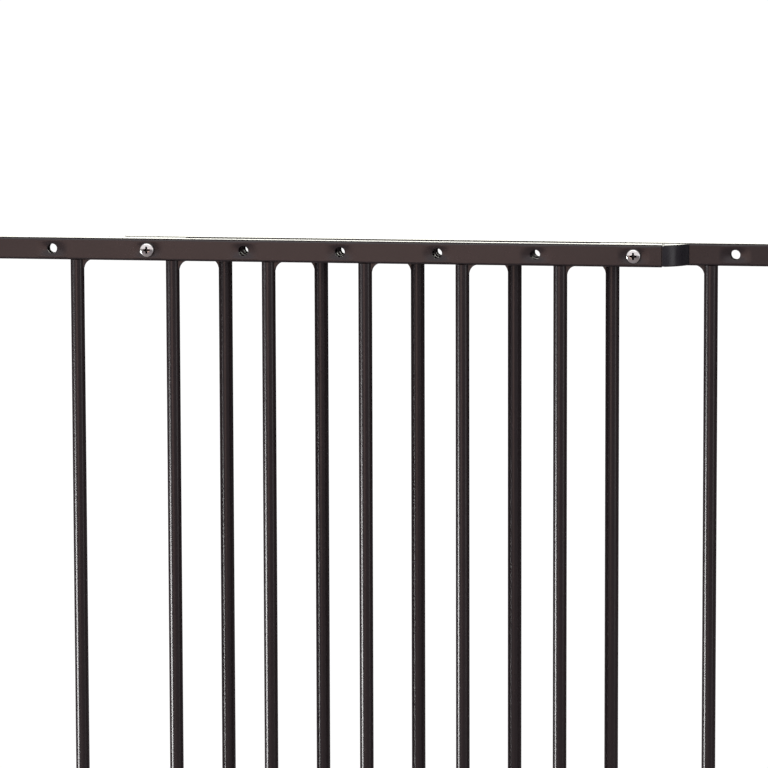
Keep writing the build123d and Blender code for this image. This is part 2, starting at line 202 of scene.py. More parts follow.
@dataclass(frozen=True)
class Finish(ABC):
    """A real material as one surface shows it."""

    title: str
    slot: Slot
    colour: str
    roughness: float

    def material(self) -> bpy.types.Material:
        """The finish's material, made the first time that it is asked for."""
        found = bpy.data.materials.get(self.title)
        if found:
            return found
        material = bpy.data.materials.new(self.title)
        material.use_nodes = True
        tree = material.node_tree
        tree.nodes.clear()
        shader = add_node(tree, "ShaderNodeBsdfPrincipled",
                          {"Base Color": linear(self.colour), "Roughness": self.roughness})
        add_node(tree, "ShaderNodeOutputMaterial", None, {"Surface": shader.outputs["BSDF"]})
        place = add_node(tree, "ShaderNodeTexCoord").outputs["Object"]
        self.dress(tree, shader, place)
        return material

    @abstractmethod
    def dress(self, tree: bpy.types.NodeTree, shader: bpy.types.Node,
              place: bpy.types.NodeSocket) -> None:
        """Add what makes the surface look like the real one."""

    def vary_colour(self, tree: bpy.types.NodeTree, shader: bpy.types.Node,
                    by: bpy.types.NodeSocket, other: str, share: float) -> None:
        """Mix a second colour into the base colour.

        Args:
            tree: The material's nodes.
            shader: Its Principled shader.
            by: Where the second colour shows, from 0 to 1.
            other: The second colour as sRGB hex.
            share: The most of it that shows.
        """
        amount = add_node(tree, "ShaderNodeMapRange", {"To Max": share}, {"Value": by})
        mix = add_node(tree, "ShaderNodeMix",
                       {"data_type": "RGBA", 6: linear(self.colour), 7: linear(other)},
                       {0: amount.outputs["Result"]})
        tree.links.new(mix.outputs[2], shader.inputs["Base Color"])

    def vary_roughness(self, tree: bpy.types.NodeTree, shader: bpy.types.Node,
                       by: bpy.types.NodeSocket, spread: float) -> None:
        """Let the roughness wander by `spread` to each side of its usual value."""
        amount = add_node(tree, "ShaderNodeMapRange",
                          {"From Min": 0.3, "From Max": 0.7, "To Min": self.roughness - spread,
                           "To Max": self.roughness + spread}, {"Value": by})
        tree.links.new(amount.outputs["Result"], shader.inputs["Roughness"])

    def noise(self, tree: bpy.types.NodeTree, place: bpy.types.NodeSocket, size_mm: float,
              detail: float) -> bpy.types.NodeSocket:
        """Noise from 0 to 1, whose cells measure `size_mm`."""
        return add_node(tree, "ShaderNodeTexNoise",
                        {"Scale": per_metre(size_mm), "Detail": detail},
                        {"Vector": place}).outputs["Fac"]

    def bump(self, tree: bpy.types.NodeTree, shader: bpy.types.Node,
             height: bpy.types.NodeSocket, strength: float, depth_mm: float) -> None:
        """Add relief of `depth_mm` on top of the relief that the surface already has."""
        links = {"Height": height}
        for link in shader.inputs["Normal"].links:
            links["Normal"] = link.from_socket
        relief = add_node(tree, "ShaderNodeBump",
                          {"Strength": strength, "Distance": depth_mm * MM}, links)
        tree.links.new(relief.outputs["Normal"], shader.inputs["Normal"])


@dataclass(frozen=True)
class PowderCoat(Finish):
    """Polyester powder coat, sprayed on steel tube and baked.

    It flows out to a smooth satin skin with a faint orange peel, follows the slight waviness of
    the rolled tube, and holds a few fine specks.
    """

    deep_colour: str = "1A1617"
    peel_mm: float = 1.7
    peel_depth_mm: float = 0.0015
    wave_mm: float = 21.0
    wave_depth_mm: float = 0.03
    speck_mm: float = 0.45
    speck_spread: float = 0.008

    def dress(self, tree: bpy.types.NodeTree, shader: bpy.types.Node,
              place: bpy.types.NodeSocket) -> None:
        """Orange peel and tube waviness as bump, and slow changes of colour and gloss."""
        shader.inputs["IOR"].default_value = 1.5
        wave = self.noise(tree, place, self.wave_mm, detail=2.0)
        peel = self.noise(tree, place, self.peel_mm, detail=1.0)
        specks = self.noise(tree, place, self.speck_mm, detail=0.0)
        self.vary_colour(tree, shader, wave, self.deep_colour, share=0.7)
        self.vary_roughness(tree, shader, specks, self.speck_spread)
        self.bump(tree, shader, wave, strength=0.5, depth_mm=self.wave_depth_mm)
        self.bump(tree, shader, peel, strength=0.6, depth_mm=self.peel_depth_mm)


@dataclass(frozen=True)
class Moulding(Finish):
    """Injection-moulded plastic from a spark-eroded tool.

    The tool's fine pits give an even matt grain, and the melt leaves slow changes of gloss. The
    grain is drawn coarser than the real 0.05 mm, so that it shows.
    """

    flow_colour: str = "26262B"
    grain_mm: float = 0.32
    grain_depth_mm: float = 0.02
    flow_mm: float = 14.0
    light_scatter: float = 0.0
    scatter_mm: float = 2.0

    def dress(self, tree: bpy.types.NodeTree, shader: bpy.types.Node,
              place: bpy.types.NodeSocket) -> None:
        """Spark grain as bump, with flow marks in colour and gloss."""
        shader.inputs["IOR"].default_value = 1.49
        if self.light_scatter:
            shader.inputs["Subsurface Weight"].default_value = self.light_scatter
            shader.inputs["Subsurface Scale"].default_value = self.scatter_mm * MM
        flow = self.noise(tree, place, self.flow_mm, detail=3.0)
        grain = self.noise(tree, place, self.grain_mm, detail=2.0)
        self.vary_colour(tree, shader, flow, self.flow_colour, share=0.8)
        self.vary_roughness(tree, shader, flow, spread=0.05)
        self.bump(tree, shader, grain, strength=0.55, depth_mm=self.grain_depth_mm)


@dataclass(frozen=True)
class ZincPlate(Finish):
    """Bright zinc plate on cold-headed steel, passivated clear.

    The plate is mirror-like under a faint frost, with pale blue and straw clouds. A driver recess
    is painted dark, as painted shade.
    """

    straw_colour: str = "DAD3BE"
    # Painted shade: the colour painted into a driver recess in place of the shade that falls there
    recess_colour: str = "2E3033"
    cloud_mm: float = 2.4
    frost_mm: float = 0.25
    frost_depth_mm: float = 0.006

    def dress(self, tree: bpy.types.NodeTree, shader: bpy.types.Node,
              place: bpy.types.NodeSocket) -> None:
        """Clouds in colour and gloss, frost as bump, and painted shade in the driver recess."""
        shader.inputs["Metallic"].default_value = 1.0
        cloud = self.noise(tree, place, self.cloud_mm, detail=3.0)
        frost = self.noise(tree, place, self.frost_mm, detail=1.0)
        self.vary_colour(tree, shader, cloud, self.straw_colour, share=0.8)
        self.vary_roughness(tree, shader, cloud, spread=0.06)
        # Painted shade: points marked deep in a driver recess take a dark colour, standing in for
        # shade
        recess = add_node(tree, "ShaderNodeAttribute", {"attribute_name": RECESS_SHADE_LAYER})
        recess_shade_share = add_node(tree, "ShaderNodeMapRange", {"From Max": 0.2},
                        {"Value": recess.outputs["Fac"]})
        plated = shader.inputs["Base Color"].links[0].from_socket
        mix = add_node(tree, "ShaderNodeMix", {"data_type": "RGBA", 7: linear(self.recess_colour)},
                       {0: recess_shade_share.outputs["Result"], 6: plated})
        tree.links.new(mix.outputs[2], shader.inputs["Base Color"])
        self.bump(tree, shader, frost, strength=0.5, depth_mm=self.frost_depth_mm)


@dataclass(frozen=True)
class TurnedSteel(Finish):
    """Steel rod turned in a lathe and thinly plated.

    The tool leaves fine rings square to the rod's axis. They are drawn about three times as
    coarse as the real 0.1 mm feed, so that they show.
    """

    dark_colour: str = "8E8F92"
    ring_mm: float = 0.3
    ring_depth_mm: float = 0.012
    ring_reach_mm: float = 60.0
    along: str = "Z"

    def dress(self, tree: bpy.types.NodeTree, shader: bpy.types.Node,
              place: bpy.types.NodeSocket) -> None:
        """Turning rings as bump and as a fine change of colour."""
        shader.inputs["Metallic"].default_value = 1.0
        stretch = tuple(per_metre(self.ring_mm if axis == self.along else self.ring_reach_mm)
                        for axis in "XYZ")
        laid = add_node(tree, "ShaderNodeMapping", {"Scale": stretch}, {"Vector": place})
        rings = add_node(tree, "ShaderNodeTexNoise", {"Scale": 1.0, "Detail": 2.0},
                         {"Vector": laid.outputs["Vector"]}).outputs["Fac"]
        self.vary_colour(tree, shader, rings, self.dark_colour, share=0.6)
        self.vary_roughness(tree, shader, rings, spread=0.07)
        self.bump(tree, shader, rings, strength=0.5, depth_mm=self.ring_depth_mm)


COAT = PowderCoat("semi_gloss_powder_coat", Slot.COATED_STEEL, "261F20", 0.24)
GUIDE_NYLON = Moulding("moulded_nylon_guide", Slot.GUIDE_PLASTIC, "18181E", 0.26)
BLACK_ABS = Moulding("spark_grained_abs", Slot.MOULDED_PLASTIC, "1F1E21", 0.46)
SLIDER_ABS = Moulding("satin_abs_slider", Slot.SLIDER_PLASTIC, "3A3A3E", 0.38,
                      flow_colour="33343A", grain_mm=0.4)
BUSH_NYLON = Moulding("natural_nylon", Slot.BUSH_PLASTIC, "E2DDCF", 0.4,
                      flow_colour="D8D0BC", light_scatter=0.3)
ZINC = ZincPlate("bright_zinc_plate", Slot.ZINC_STEEL, "E2EAEF", 0.14)
PIN_STEEL = TurnedSteel("turned_steel_pin", Slot.BRIGHT_STEEL, "C9CBCE", 0.24)
BOLT_STEEL = TurnedSteel("turned_steel_bolt", Slot.BRIGHT_STEEL, "C9CBCE", 0.24, along="X")


# ---------------------------------------------------------------- shaping


def box_mm(node: str) -> tuple[Vector, Vector]:
    """Lowest and highest corner of a CAD node, in millimetres."""
    low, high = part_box(node)
    return low / MM, high / MM


def middle(node: str) -> Vector:
    """Middle of a CAD node's box, in millimetres."""
    low, high = box_mm(node)
    return (low + high) / 2


def arc(centre: Point, radius: float, start: float, end: float, steps: int) -> list[Point]:
    """Points along an arc.

    Args:
        centre: The arc's centre.
        radius: Its radius in millimetres.
        start: Angle of the first point in degrees.
        end: Angle of the last point in degrees.
        steps: Number of runs between the points.

    Returns:
        The points, both ends included.
    """
    angles = [math.radians(start + (end - start) * i / steps) for i in range(steps + 1)]
    return [(centre[0] + radius * math.cos(a), centre[1] + radius * math.sin(a)) for a in angles]


def sides_to(origin: Vector, right: Vector, up: Vector) -> Matrix:
    """Placement whose x, y and z run right, up and towards the viewer of that face."""
    right, up = right.normalized(), up.normalized()
    turn = Matrix((right, up, right.cross(up))).transposed().to_4x4()
    return Matrix.Translation(origin) @ turn


def across_x(edge: bmesh.types.BMEdge) -> bool:
    """Whether an edge runs along X."""
    run = edge.verts[1].co - edge.verts[0].co
    return abs(run.x) > 0.99 * run.length


def upright(edge: bmesh.types.BMEdge) -> bool:
    """Whether an edge runs along Z."""
    run = edge.verts[1].co - edge.verts[0].co
    return abs(run.z) > 0.99 * run.length


class Form:
    """A closed shape while bmesh operators work on it, in millimetres of the model frame."""

    def __init__(self) -> None:
        """Start with nothing."""
        self.mesh = bmesh.new()

    @classmethod
    def block(cls, low: Sequence[float], high: Sequence[float]) -> "Form":
        """Rectangular block between two corners."""
        form = cls()
        low, high = Vector(low), Vector(high)
        spread = Matrix.Diagonal((*(high - low), 1.0))
        bmesh.ops.create_cube(form.mesh, size=1.0,
                              matrix=Matrix.Translation((low + high) / 2) @ spread)
        return form

    @classmethod
    def prism(cls, outline: Sequence[Point], place: Matrix, depth: float) -> "Form":
        """Flat outline pulled out into a solid.

        Args:
            outline: Corners in the placement's x and y.
            place: Where the outline lies.
            depth: How far it is pulled along the placement's z.

        Returns:
            The solid.
        """
        form = cls()
        corners = [form.mesh.verts.new(place @ Vector((u, v, 0))) for u, v in outline]
        face = form.mesh.faces.new(corners)
        pulled = bmesh.ops.extrude_face_region(form.mesh, geom=[face])["geom"]
        bmesh.ops.translate(form.mesh, vec=place.to_3x3() @ Vector((0, 0, depth)),
                            verts=[item for item in pulled
                                   if isinstance(item, bmesh.types.BMVert)])
        bmesh.ops.recalc_face_normals(form.mesh, faces=form.mesh.faces)
        return form

    @classmethod
    def turned(cls, profile: Sequence[Point], base: Vector, axis: Vector, steps: int = 48,
               ring: bool = False) -> "Form":
        """Profile spun right round an axis.

        Args:
            profile: Radius and height of each point, from axis to axis.
            base: Where height 0 lies on the axis.
            axis: Direction of the axis.
            steps: Sides of the turned shape.
            ring: Whether the profile is a loop that stays clear of the axis.

        Returns:
            The solid.
        """
        form = cls()
        place = Matrix.Translation(base) @ axis.to_track_quat("Z", "Y").to_matrix().to_4x4()
        dots = [form.mesh.verts.new(place @ Vector((r, 0, h))) for r, h in profile]
        pairs = list(zip(dots, dots[1:])) + ([(dots[-1], dots[0])] if ring else [])
        lines = [form.mesh.edges.new(pair) for pair in pairs]
        bmesh.ops.spin(form.mesh, geom=dots + lines, cent=base, axis=axis,
                       angle=2 * math.pi, steps=steps, use_merge=True)
        form.clean()
        bmesh.ops.recalc_face_normals(form.mesh, faces=form.mesh.faces)
        return form

    @classmethod
    def rod(cls, radius: float, start: float, end: float, base: Vector, axis: Vector,
            steps: int = 48) -> "Form":
        """Plain cylinder round an axis, between two heights above its base."""
        return cls.turned([(0, start), (radius, start), (radius, end), (0, end)], base, axis, steps)

    def clean(self) -> "Form":
        """Merge doubled points and drop faces with no area."""
        bmesh.ops.remove_doubles(self.mesh, verts=self.mesh.verts, dist=WELD_DISTANCE)
        bmesh.ops.dissolve_degenerate(self.mesh, edges=self.mesh.edges, dist=WELD_DISTANCE)
        return self

    def soften(self, radius: float, steps: int = 3, where: EdgeTest | None = None) -> "Form":
        """Round the sharp edges.

        Args:
            radius: Radius of the rounding in millimetres.
            steps: Faces across the rounding.
            where: Test that picks the edges, if not every sharp one.

        Returns:
            This form.
        """
        edges = [edge for edge in self.mesh.edges
                 if edge.is_manifold and edge.calc_face_angle(0.0) > SHARP_EDGE
                 and (where is None or where(edge))]
        bmesh.ops.bevel(self.mesh, geom=edges, offset=radius, offset_type="OFFSET",
                        segments=steps, profile=0.5, affect="EDGES", clamp_overlap=True,
                        material=-1)
        return self

    def boolean(self, other: "Form", how: Cut) -> "Form":
        """Join, cut or cross this form with another, which is used up."""
        pair = [bpy.data.objects.new("shaping", bpy.data.meshes.new("shaping")) for _ in "ab"]
        for thing, form in zip(pair, (self, other)):
            form.mesh.to_mesh(thing.data)
            bpy.context.scene.collection.objects.link(thing)
        step = pair[0].modifiers.new("shaping", "BOOLEAN")
        step.operation = how.value
        step.solver = "EXACT"
        step.object = pair[1]
        worked = pair[0].evaluated_get(bpy.context.evaluated_depsgraph_get())
        result = bpy.data.meshes.new_from_object(worked)
        self.mesh.clear()
        self.mesh.from_mesh(result)
        bpy.data.meshes.remove(result)
        for thing in pair:
            bpy.data.meshes.remove(thing.data)
        other.mesh.free()
        self.clean()
        bmesh.ops.dissolve_limit(self.mesh, angle_limit=FLAT_EDGE, verts=self.mesh.verts,
                                 edges=self.mesh.edges)
        return self

    def join(self, *others: "Form") -> "Form":
        """Join other forms to this one as one solid."""
        for other in others:
            self.boolean(other, Cut.JOIN)
        return self

    def remove(self, *others: "Form") -> "Form":
        """Cut other forms out of this one."""
        for other in others:
            self.boolean(other, Cut.REMOVE)
        return self

    def beside(self, *others: "Form") -> "Form":
        """Take in other forms that lie clear of this one, as separate solids."""
        for other in others:
            copied = bpy.data.meshes.new("shaping")
            other.mesh.to_mesh(copied)
            self.mesh.from_mesh(copied)
            bpy.data.meshes.remove(copied)
            other.mesh.free()
        return self

    @staticmethod
    def together(forms: Iterable["Form"]) -> "Form":
        """Forms that lie clear of each other, taken in by the first of them."""
        first, *others = forms
        return first.beside(*others)

    def reach(self) -> tuple[Vector, Vector]:
        """Lowest and highest corner of the shape."""
        places = [vert.co for vert in self.mesh.verts]
        low = Vector(min(place[axis] for place in places) for axis in range(3))
        high = Vector(max(place[axis] for place in places) for axis in range(3))
        return low, high

    def moved(self, placement: Matrix) -> "Form":
        """Turn and shift the whole form."""
        bmesh.ops.transform(self.mesh, matrix=placement, verts=self.mesh.verts)
        return self

    def piece(self, name: str, finish: Finish, *nodes: str) -> bpy.types.Object:
        """Make the finished object, which stands for CAD nodes and rides on their body.

        Args:
            name: The piece's name.
            finish: Its material.
            nodes: The CAD nodes that it replaces, all on one body.

        Returns:
            The object, at the origin, with its place in its mesh.
        """
        bmesh.ops.scale(self.mesh, vec=(MM, MM, MM), verts=self.mesh.verts)
        for face in self.mesh.faces:
            face.smooth = True
        data = bpy.data.meshes.new(name)
        self.mesh.to_mesh(data)
        self.mesh.free()
        data.set_sharp_from_angle(angle=SHARP_EDGE)
        data.materials.append(finish.material())
        made = bpy.data.objects.new(name, data)
        bpy.context.scene.collection.objects.link(made)
        level = made.modifiers.new("even_flats", "WEIGHTED_NORMAL")
        level.keep_sharp = True
        graph = bpy.context.evaluated_depsgraph_get()
        made.data = bpy.data.meshes.new_from_object(
            made.evaluated_get(graph), preserve_all_data_layers=True, depsgraph=graph)
        made.data.name = name
        made.modifiers.clear()
        bpy.data.meshes.remove(data)
        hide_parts(*nodes)
        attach(made, frame["nodes"][nodes[0]]["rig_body"])
        log.info("%s: %d faces", name, len(made.data.polygons))
        return made


# ---------------------------------------------------------------- panels


@dataclass(frozen=True)
class PiercedRail:
    """Rectangular steel tube, rolled with round corners and punched through by a row of holes.

    The punch draws the flat faces in a little round each hole and leaves a rounded rim, and the
    sprayed coat follows both.
    """

    wall: float = 1.2
    corner: float = 1.5
    corner_steps: int = 5
    hole_radius: float = 3.1
    hole_steps: int = 40
    rim_round: float = 0.45
    draw_reach: float = 11.0
    draw_depth: float = 0.62
    draw_rings: int = 4

    def form(self, low: Vector, high: Vector, holes: Sequence[float]) -> Form:
        """Shape one rail.

        Args:
            low: Lowest corner of its box.
            high: Highest corner of its box.
            holes: X of each hole.

        Returns:
            The rail, open at both ends.
        """
        rail = Form.block(low, high)
        mesh = rail.mesh
        ends = [face for face in mesh.faces if abs(face.normal.x) > 0.9]
        bmesh.ops.delete(mesh, geom=ends, context="FACES_ONLY")
        lengthwise = [edge for edge in mesh.edges if across_x(edge)]
        bmesh.ops.bevel(mesh, geom=lengthwise, offset=self.corner,
                        offset_type="OFFSET", segments=self.corner_steps, profile=0.5,
                        affect="EDGES", material=-1)
        for hole in holes:
            for end in (hole - self.draw_reach, hole + self.draw_reach):
                bmesh.ops.bisect_plane(mesh, geom=mesh.verts[:] + mesh.edges[:] + mesh.faces[:],
                                       dist=WELD_DISTANCE, plane_co=(end, 0, 0), plane_no=X)
        middle_z = (low.z + high.z) / 2
        for hole in holes:
            for face_y, outwards in ((low.y, -1), (high.y, 1)):
                self.punch(mesh, Vector((hole, face_y, middle_z)), outwards)
        bmesh.ops.recalc_face_normals(mesh, faces=mesh.faces)
        bmesh.ops.solidify(mesh, geom=mesh.faces[:], thickness=self.wall)
        bmesh.ops.recalc_face_normals(mesh, faces=mesh.faces)
        self.round_rims(mesh, low, high, holes, middle_z)
        return rail

    def punch(self, mesh: bmesh.types.BMesh, centre: Vector, outwards: int) -> None:
        """Open one hole in a flat face and draw the face in round it.

        Args:
            mesh: The rail's outer skin.
            centre: The hole's centre on the face.
            outwards: Sign of the face's direction along Y.
        """
        flat = next(face for face in mesh.faces if face.normal.y * outwards > 0.99
                    and abs(face.calc_center_median().x - centre.x) < 1
                    and abs(face.calc_center_median().y - centre.y) < 0.1)
        border = flat.edges[:]
        half_height = max(vert.co.z for vert in flat.verts) - centre.z
        bmesh.ops.delete(mesh, geom=[flat], context="FACES_ONLY")
        bmesh.ops.subdivide_edges(mesh, edges=border, cuts=self.hole_steps // 4 - 1)
        border = [edge for edge in mesh.edges if edge.is_boundary and all(
            abs(vert.co.x - centre.x) < self.draw_reach + WELD_DISTANCE
            and abs(vert.co.y - centre.y) < WELD_DISTANCE for vert in edge.verts)]
        flat = bmesh.ops.edgeloop_fill(mesh, edges=border)["faces"][0]
        bmesh.ops.inset_individual(mesh, faces=[flat], thickness=self.rim_round)
        ring = set(flat.verts)
        spokes = [edge for vert in ring for edge in vert.link_edges
                  if edge.other_vert(vert) not in ring]
        bmesh.ops.delete(mesh, geom=[flat], context="FACES_ONLY")
        for spoke in spokes:
            inner, outer = sorted(spoke.verts, key=lambda vert: vert not in ring)
            inner.co = self.on_circle(centre, (outer.co.x - centre.x) / self.draw_reach,
                                      (outer.co.z - centre.z) / half_height)
        bmesh.ops.subdivide_edges(mesh, edges=spokes, cuts=self.draw_rings, use_grid_fill=True)
        for vert in mesh.verts:
            across = abs(vert.co.x - centre.x) / self.draw_reach
            upright = abs(vert.co.z - centre.z) / half_height
            if across < 1 and upright < 1 and abs(vert.co.y - centre.y) < WELD_DISTANCE:
                share = (1 - across ** 2) ** 2 * (1 - upright ** 2) ** 2
                vert.co.y -= outwards * self.draw_depth * share

    def on_circle(self, centre: Vector, across: float, upright: float) -> Vector:
        """Point of the hole's rim that belongs to a point on the border of its square.

        Args:
            centre: The hole's centre.
            across: Place on the square's border along X, from -1 to 1.
            upright: Place on the square's border along Z, from -1 to 1.

        Returns:
            The point, with the square's corners at the rim's diagonals.
        """
        eighth = math.pi / 4
        if abs(across) >= abs(upright):
            angle = eighth * upright / across + (math.pi if across < 0 else 0)
        else:
            angle = math.pi / 2 - eighth * across / upright + (math.pi if upright < 0 else 0)
        return centre + self.hole_radius * (math.cos(angle) * X + math.sin(angle) * Z)

    def round_rims(self, mesh: bmesh.types.BMesh, low: Vector, high: Vector,
                   holes: Sequence[float], middle_z: float) -> None:
        """Round the outer rim of every hole."""
        def on_rim(vert: bmesh.types.BMVert) -> bool:
            """Whether a point lies on the outer rim of a hole."""
            skin = min(vert.co.y - low.y, high.y - vert.co.y)
            near = min(math.hypot(vert.co.x - hole, vert.co.z - middle_z) for hole in holes)
            return skin < self.wall / 2 and abs(near - self.hole_radius) < 0.02

        rims = [edge for edge in mesh.edges if all(on_rim(vert) for vert in edge.verts)]
        bmesh.ops.bevel(mesh, geom=rims, offset=self.rim_round, offset_type="OFFSET", segments=3,
                        profile=0.5, affect="EDGES", clamp_overlap=True, material=-1)


@dataclass(frozen=True)
class PanHeadScrew:
    """Cross-recess pan-head machine screw, cold headed, with a rolled thread at its tip."""

    head_radius: float = 4.75
    head_height: float = 3.0
    crown_tilt: float = 14.0
    shoulder: float = 1.5
    shank_radius: float = 2.5
    length: float = 31.2
    thread_pitch: float = 0.8
    thread_depth: float = 0.38
    thread_turns: int = 9
    thread_form: tuple[Point, ...] = ((0.06, 0.0), (0.45, 1.0), (0.55, 1.0), (0.94, 0.0))
    head_edge: float = 0.15
    tip_length: float = 0.7
    recess_span: float = 5.4
    recess_width: float = 1.5
    recess_depth: float = 2.1
    recess_taper: float = 0.3
    recess_rim: float = 0.5
    driver_reach: float = 0.3
    cone_width: float = 0.95
    cone_foot: float = 0.92
    cone_tip: float = 1.12

    def form(self, seat: Vector, out: Vector) -> Form:
        """Shape the screw.

        Args:
            seat: Middle of the face that the head sits on.
            out: Direction from that face to the head.

        Returns:
            The screw.
        """
        screw = Form.turned(self.head() + self.thread(), seat, out, steps=40)
        screw.remove(self.recess(seat + out * self.head_height, out))
        # Painted shade: marks the points deep in the driver recess, which the zinc finish paints
        # dark
        painted_shade_layer = screw.mesh.verts.layers.float.new(RECESS_SHADE_LAYER)
        for vert in screw.mesh.verts:
            depth = self.head_height - (vert.co - seat).dot(out)
            off_axis = (vert.co - seat).cross(out).length
            in_painted_shade = (self.recess_rim < depth < self.head_height
                      and off_axis < self.recess_span / 2)
            vert[painted_shade_layer] = 1.0 if in_painted_shade else 0.0
        return screw

    def head(self) -> list[Point]:
        """Profile of the head, from the middle of its crown to the shank."""
        tilt = math.radians(self.crown_tilt)
        crown_radius = self.head_radius - self.shoulder * (1 - math.sin(tilt))
        drop = crown_radius * math.tan(tilt) / 2
        top = [(crown_radius * step / 5, self.head_height - drop * (step / 5) ** 2)
               for step in range(5)]
        top += arc((self.head_radius - self.shoulder,
                    self.head_height - drop - self.shoulder * math.cos(tilt)),
                   self.shoulder, 90 - self.crown_tilt, 0, 6)
        return top + [(self.head_radius, self.head_edge), (self.head_radius - self.head_edge, 0.0),
                      (self.shank_radius, 0.0)]

    def thread(self) -> list[Point]:
        """Profile of the thread and the tip, to the axis."""
        thread_start = -self.length + self.thread_pitch * (self.thread_turns + 1)
        thread = [(self.shank_radius - self.thread_depth * depth,
                   thread_start - turn * self.thread_pitch - self.thread_pitch * along)
                  for turn in range(self.thread_turns) for along, depth in self.thread_form]
        return thread + [(self.shank_radius - 0.1, -self.length + self.thread_pitch * 0.7),
                         (self.shank_radius - self.tip_length, -self.length), (0.0, -self.length)]

    def recess(self, top: Vector, out: Vector) -> Form:
        """Shape of the driver's tip: two crossed wedges round a short cone."""
        above, below = self.driver_reach, -self.recess_depth
        half_span, half_width = self.recess_span / 2, self.recess_width / 2
        place = Matrix.Translation(top) @ out.to_track_quat("Z", "Y").to_matrix().to_4x4()
        cone = [(0.0, above), (self.recess_width * self.cone_width, above),
                (self.recess_width * self.recess_taper, below * self.cone_foot),
                (0.0, below * self.cone_tip)]
        cross = Form.turned(cone, Vector((0, 0, 0)), Z, steps=24)
        for wide, deep in ((half_span, half_width), (half_width, half_span)):
            wing = Form.block((-wide, -deep, below), (wide, deep, above))
            for vert in wing.mesh.verts:
                if vert.co.z < 0:
                    vert.co.x *= self.recess_taper
                    vert.co.y *= self.recess_taper
            cross.join(wing)
        return cross.moved(place)


@dataclass(frozen=True)
class FlangeNut:
    """Hexagon nut with a washer flange, chamfered at the corners and in the bore."""

    across_flats: float = 8.0
    height: float = 4.7
    flange_radius: float = 5.75
    flange_height: float = 1.2
    flange_edge: float = 0.5
    fine_edge: float = 0.1
    bore_radius: float = 2.55
    chamfer: float = 0.45

    def form(self, seat: Vector, out: Vector) -> Form:
        """Shape the nut on a face, standing out from it."""
        place = Matrix.Translation(seat) @ out.to_track_quat("Z", "Y").to_matrix().to_4x4()
        corner = self.across_flats / math.sqrt(3)
        turns = [math.radians(60 * i) for i in range(6)]
        outline = [(corner * math.cos(turn), corner * math.sin(turn)) for turn in turns]
        hexagon = Form.prism(outline, place, self.height)
        turned = Form.turned([(0.0, 0.0), (corner + PAST, 0.0),
                              (corner + PAST, self.height - self.chamfer),
                              (self.across_flats / 2 - self.fine_edge, self.height),
                              (0.0, self.height)], seat, out, steps=48)
        hexagon.boolean(turned, Cut.KEEP_COMMON)
        slope_top = self.flange_height + self.flange_edge
        flange = Form.turned([(0.0, 0.0), (self.flange_radius - self.fine_edge, 0.0),
                              (self.flange_radius, self.fine_edge),
                              (self.flange_radius, self.flange_edge),
                              (self.across_flats / 2, slope_top), (0.0, slope_top)],
                             seat, out, steps=48)
        past = PAST / 2
        bore = Form.turned([(0.0, -PAST), (self.bore_radius, -PAST),
                            (self.bore_radius, self.height - self.chamfer),
                            (self.bore_radius + self.chamfer + past, self.height + past),
                            (0.0, self.height + past)], seat, out, steps=40)
        return hexagon.join(flange).remove(bore)


@dataclass(frozen=True)
class RailPlug:
    """Plug that fills a rail's end, and the hole across it for the screw that holds it."""

    half: Point = (3.2, 5.95)
    edge_round: float = 0.4
    drill_reach: float = 9.0

    def form(self, from_x: float, to_x: float, middle_y: float, middle_z: float) -> Form:
        """Shape the plug between two places along X."""
        half_y, half_z = self.half
        plug = Form.block((from_x, middle_y - half_y, middle_z - half_z),
                          (to_x, middle_y + half_y, middle_z + half_z))
        return plug.soften(self.edge_round, 2, across_x)

    def drill(self, radius: float, place: Vector) -> Form:
        """Cutter for a hole from front to back through the middle of the plug."""
        return Form.rod(radius, -self.drill_reach, self.drill_reach, place, Y, steps=32)


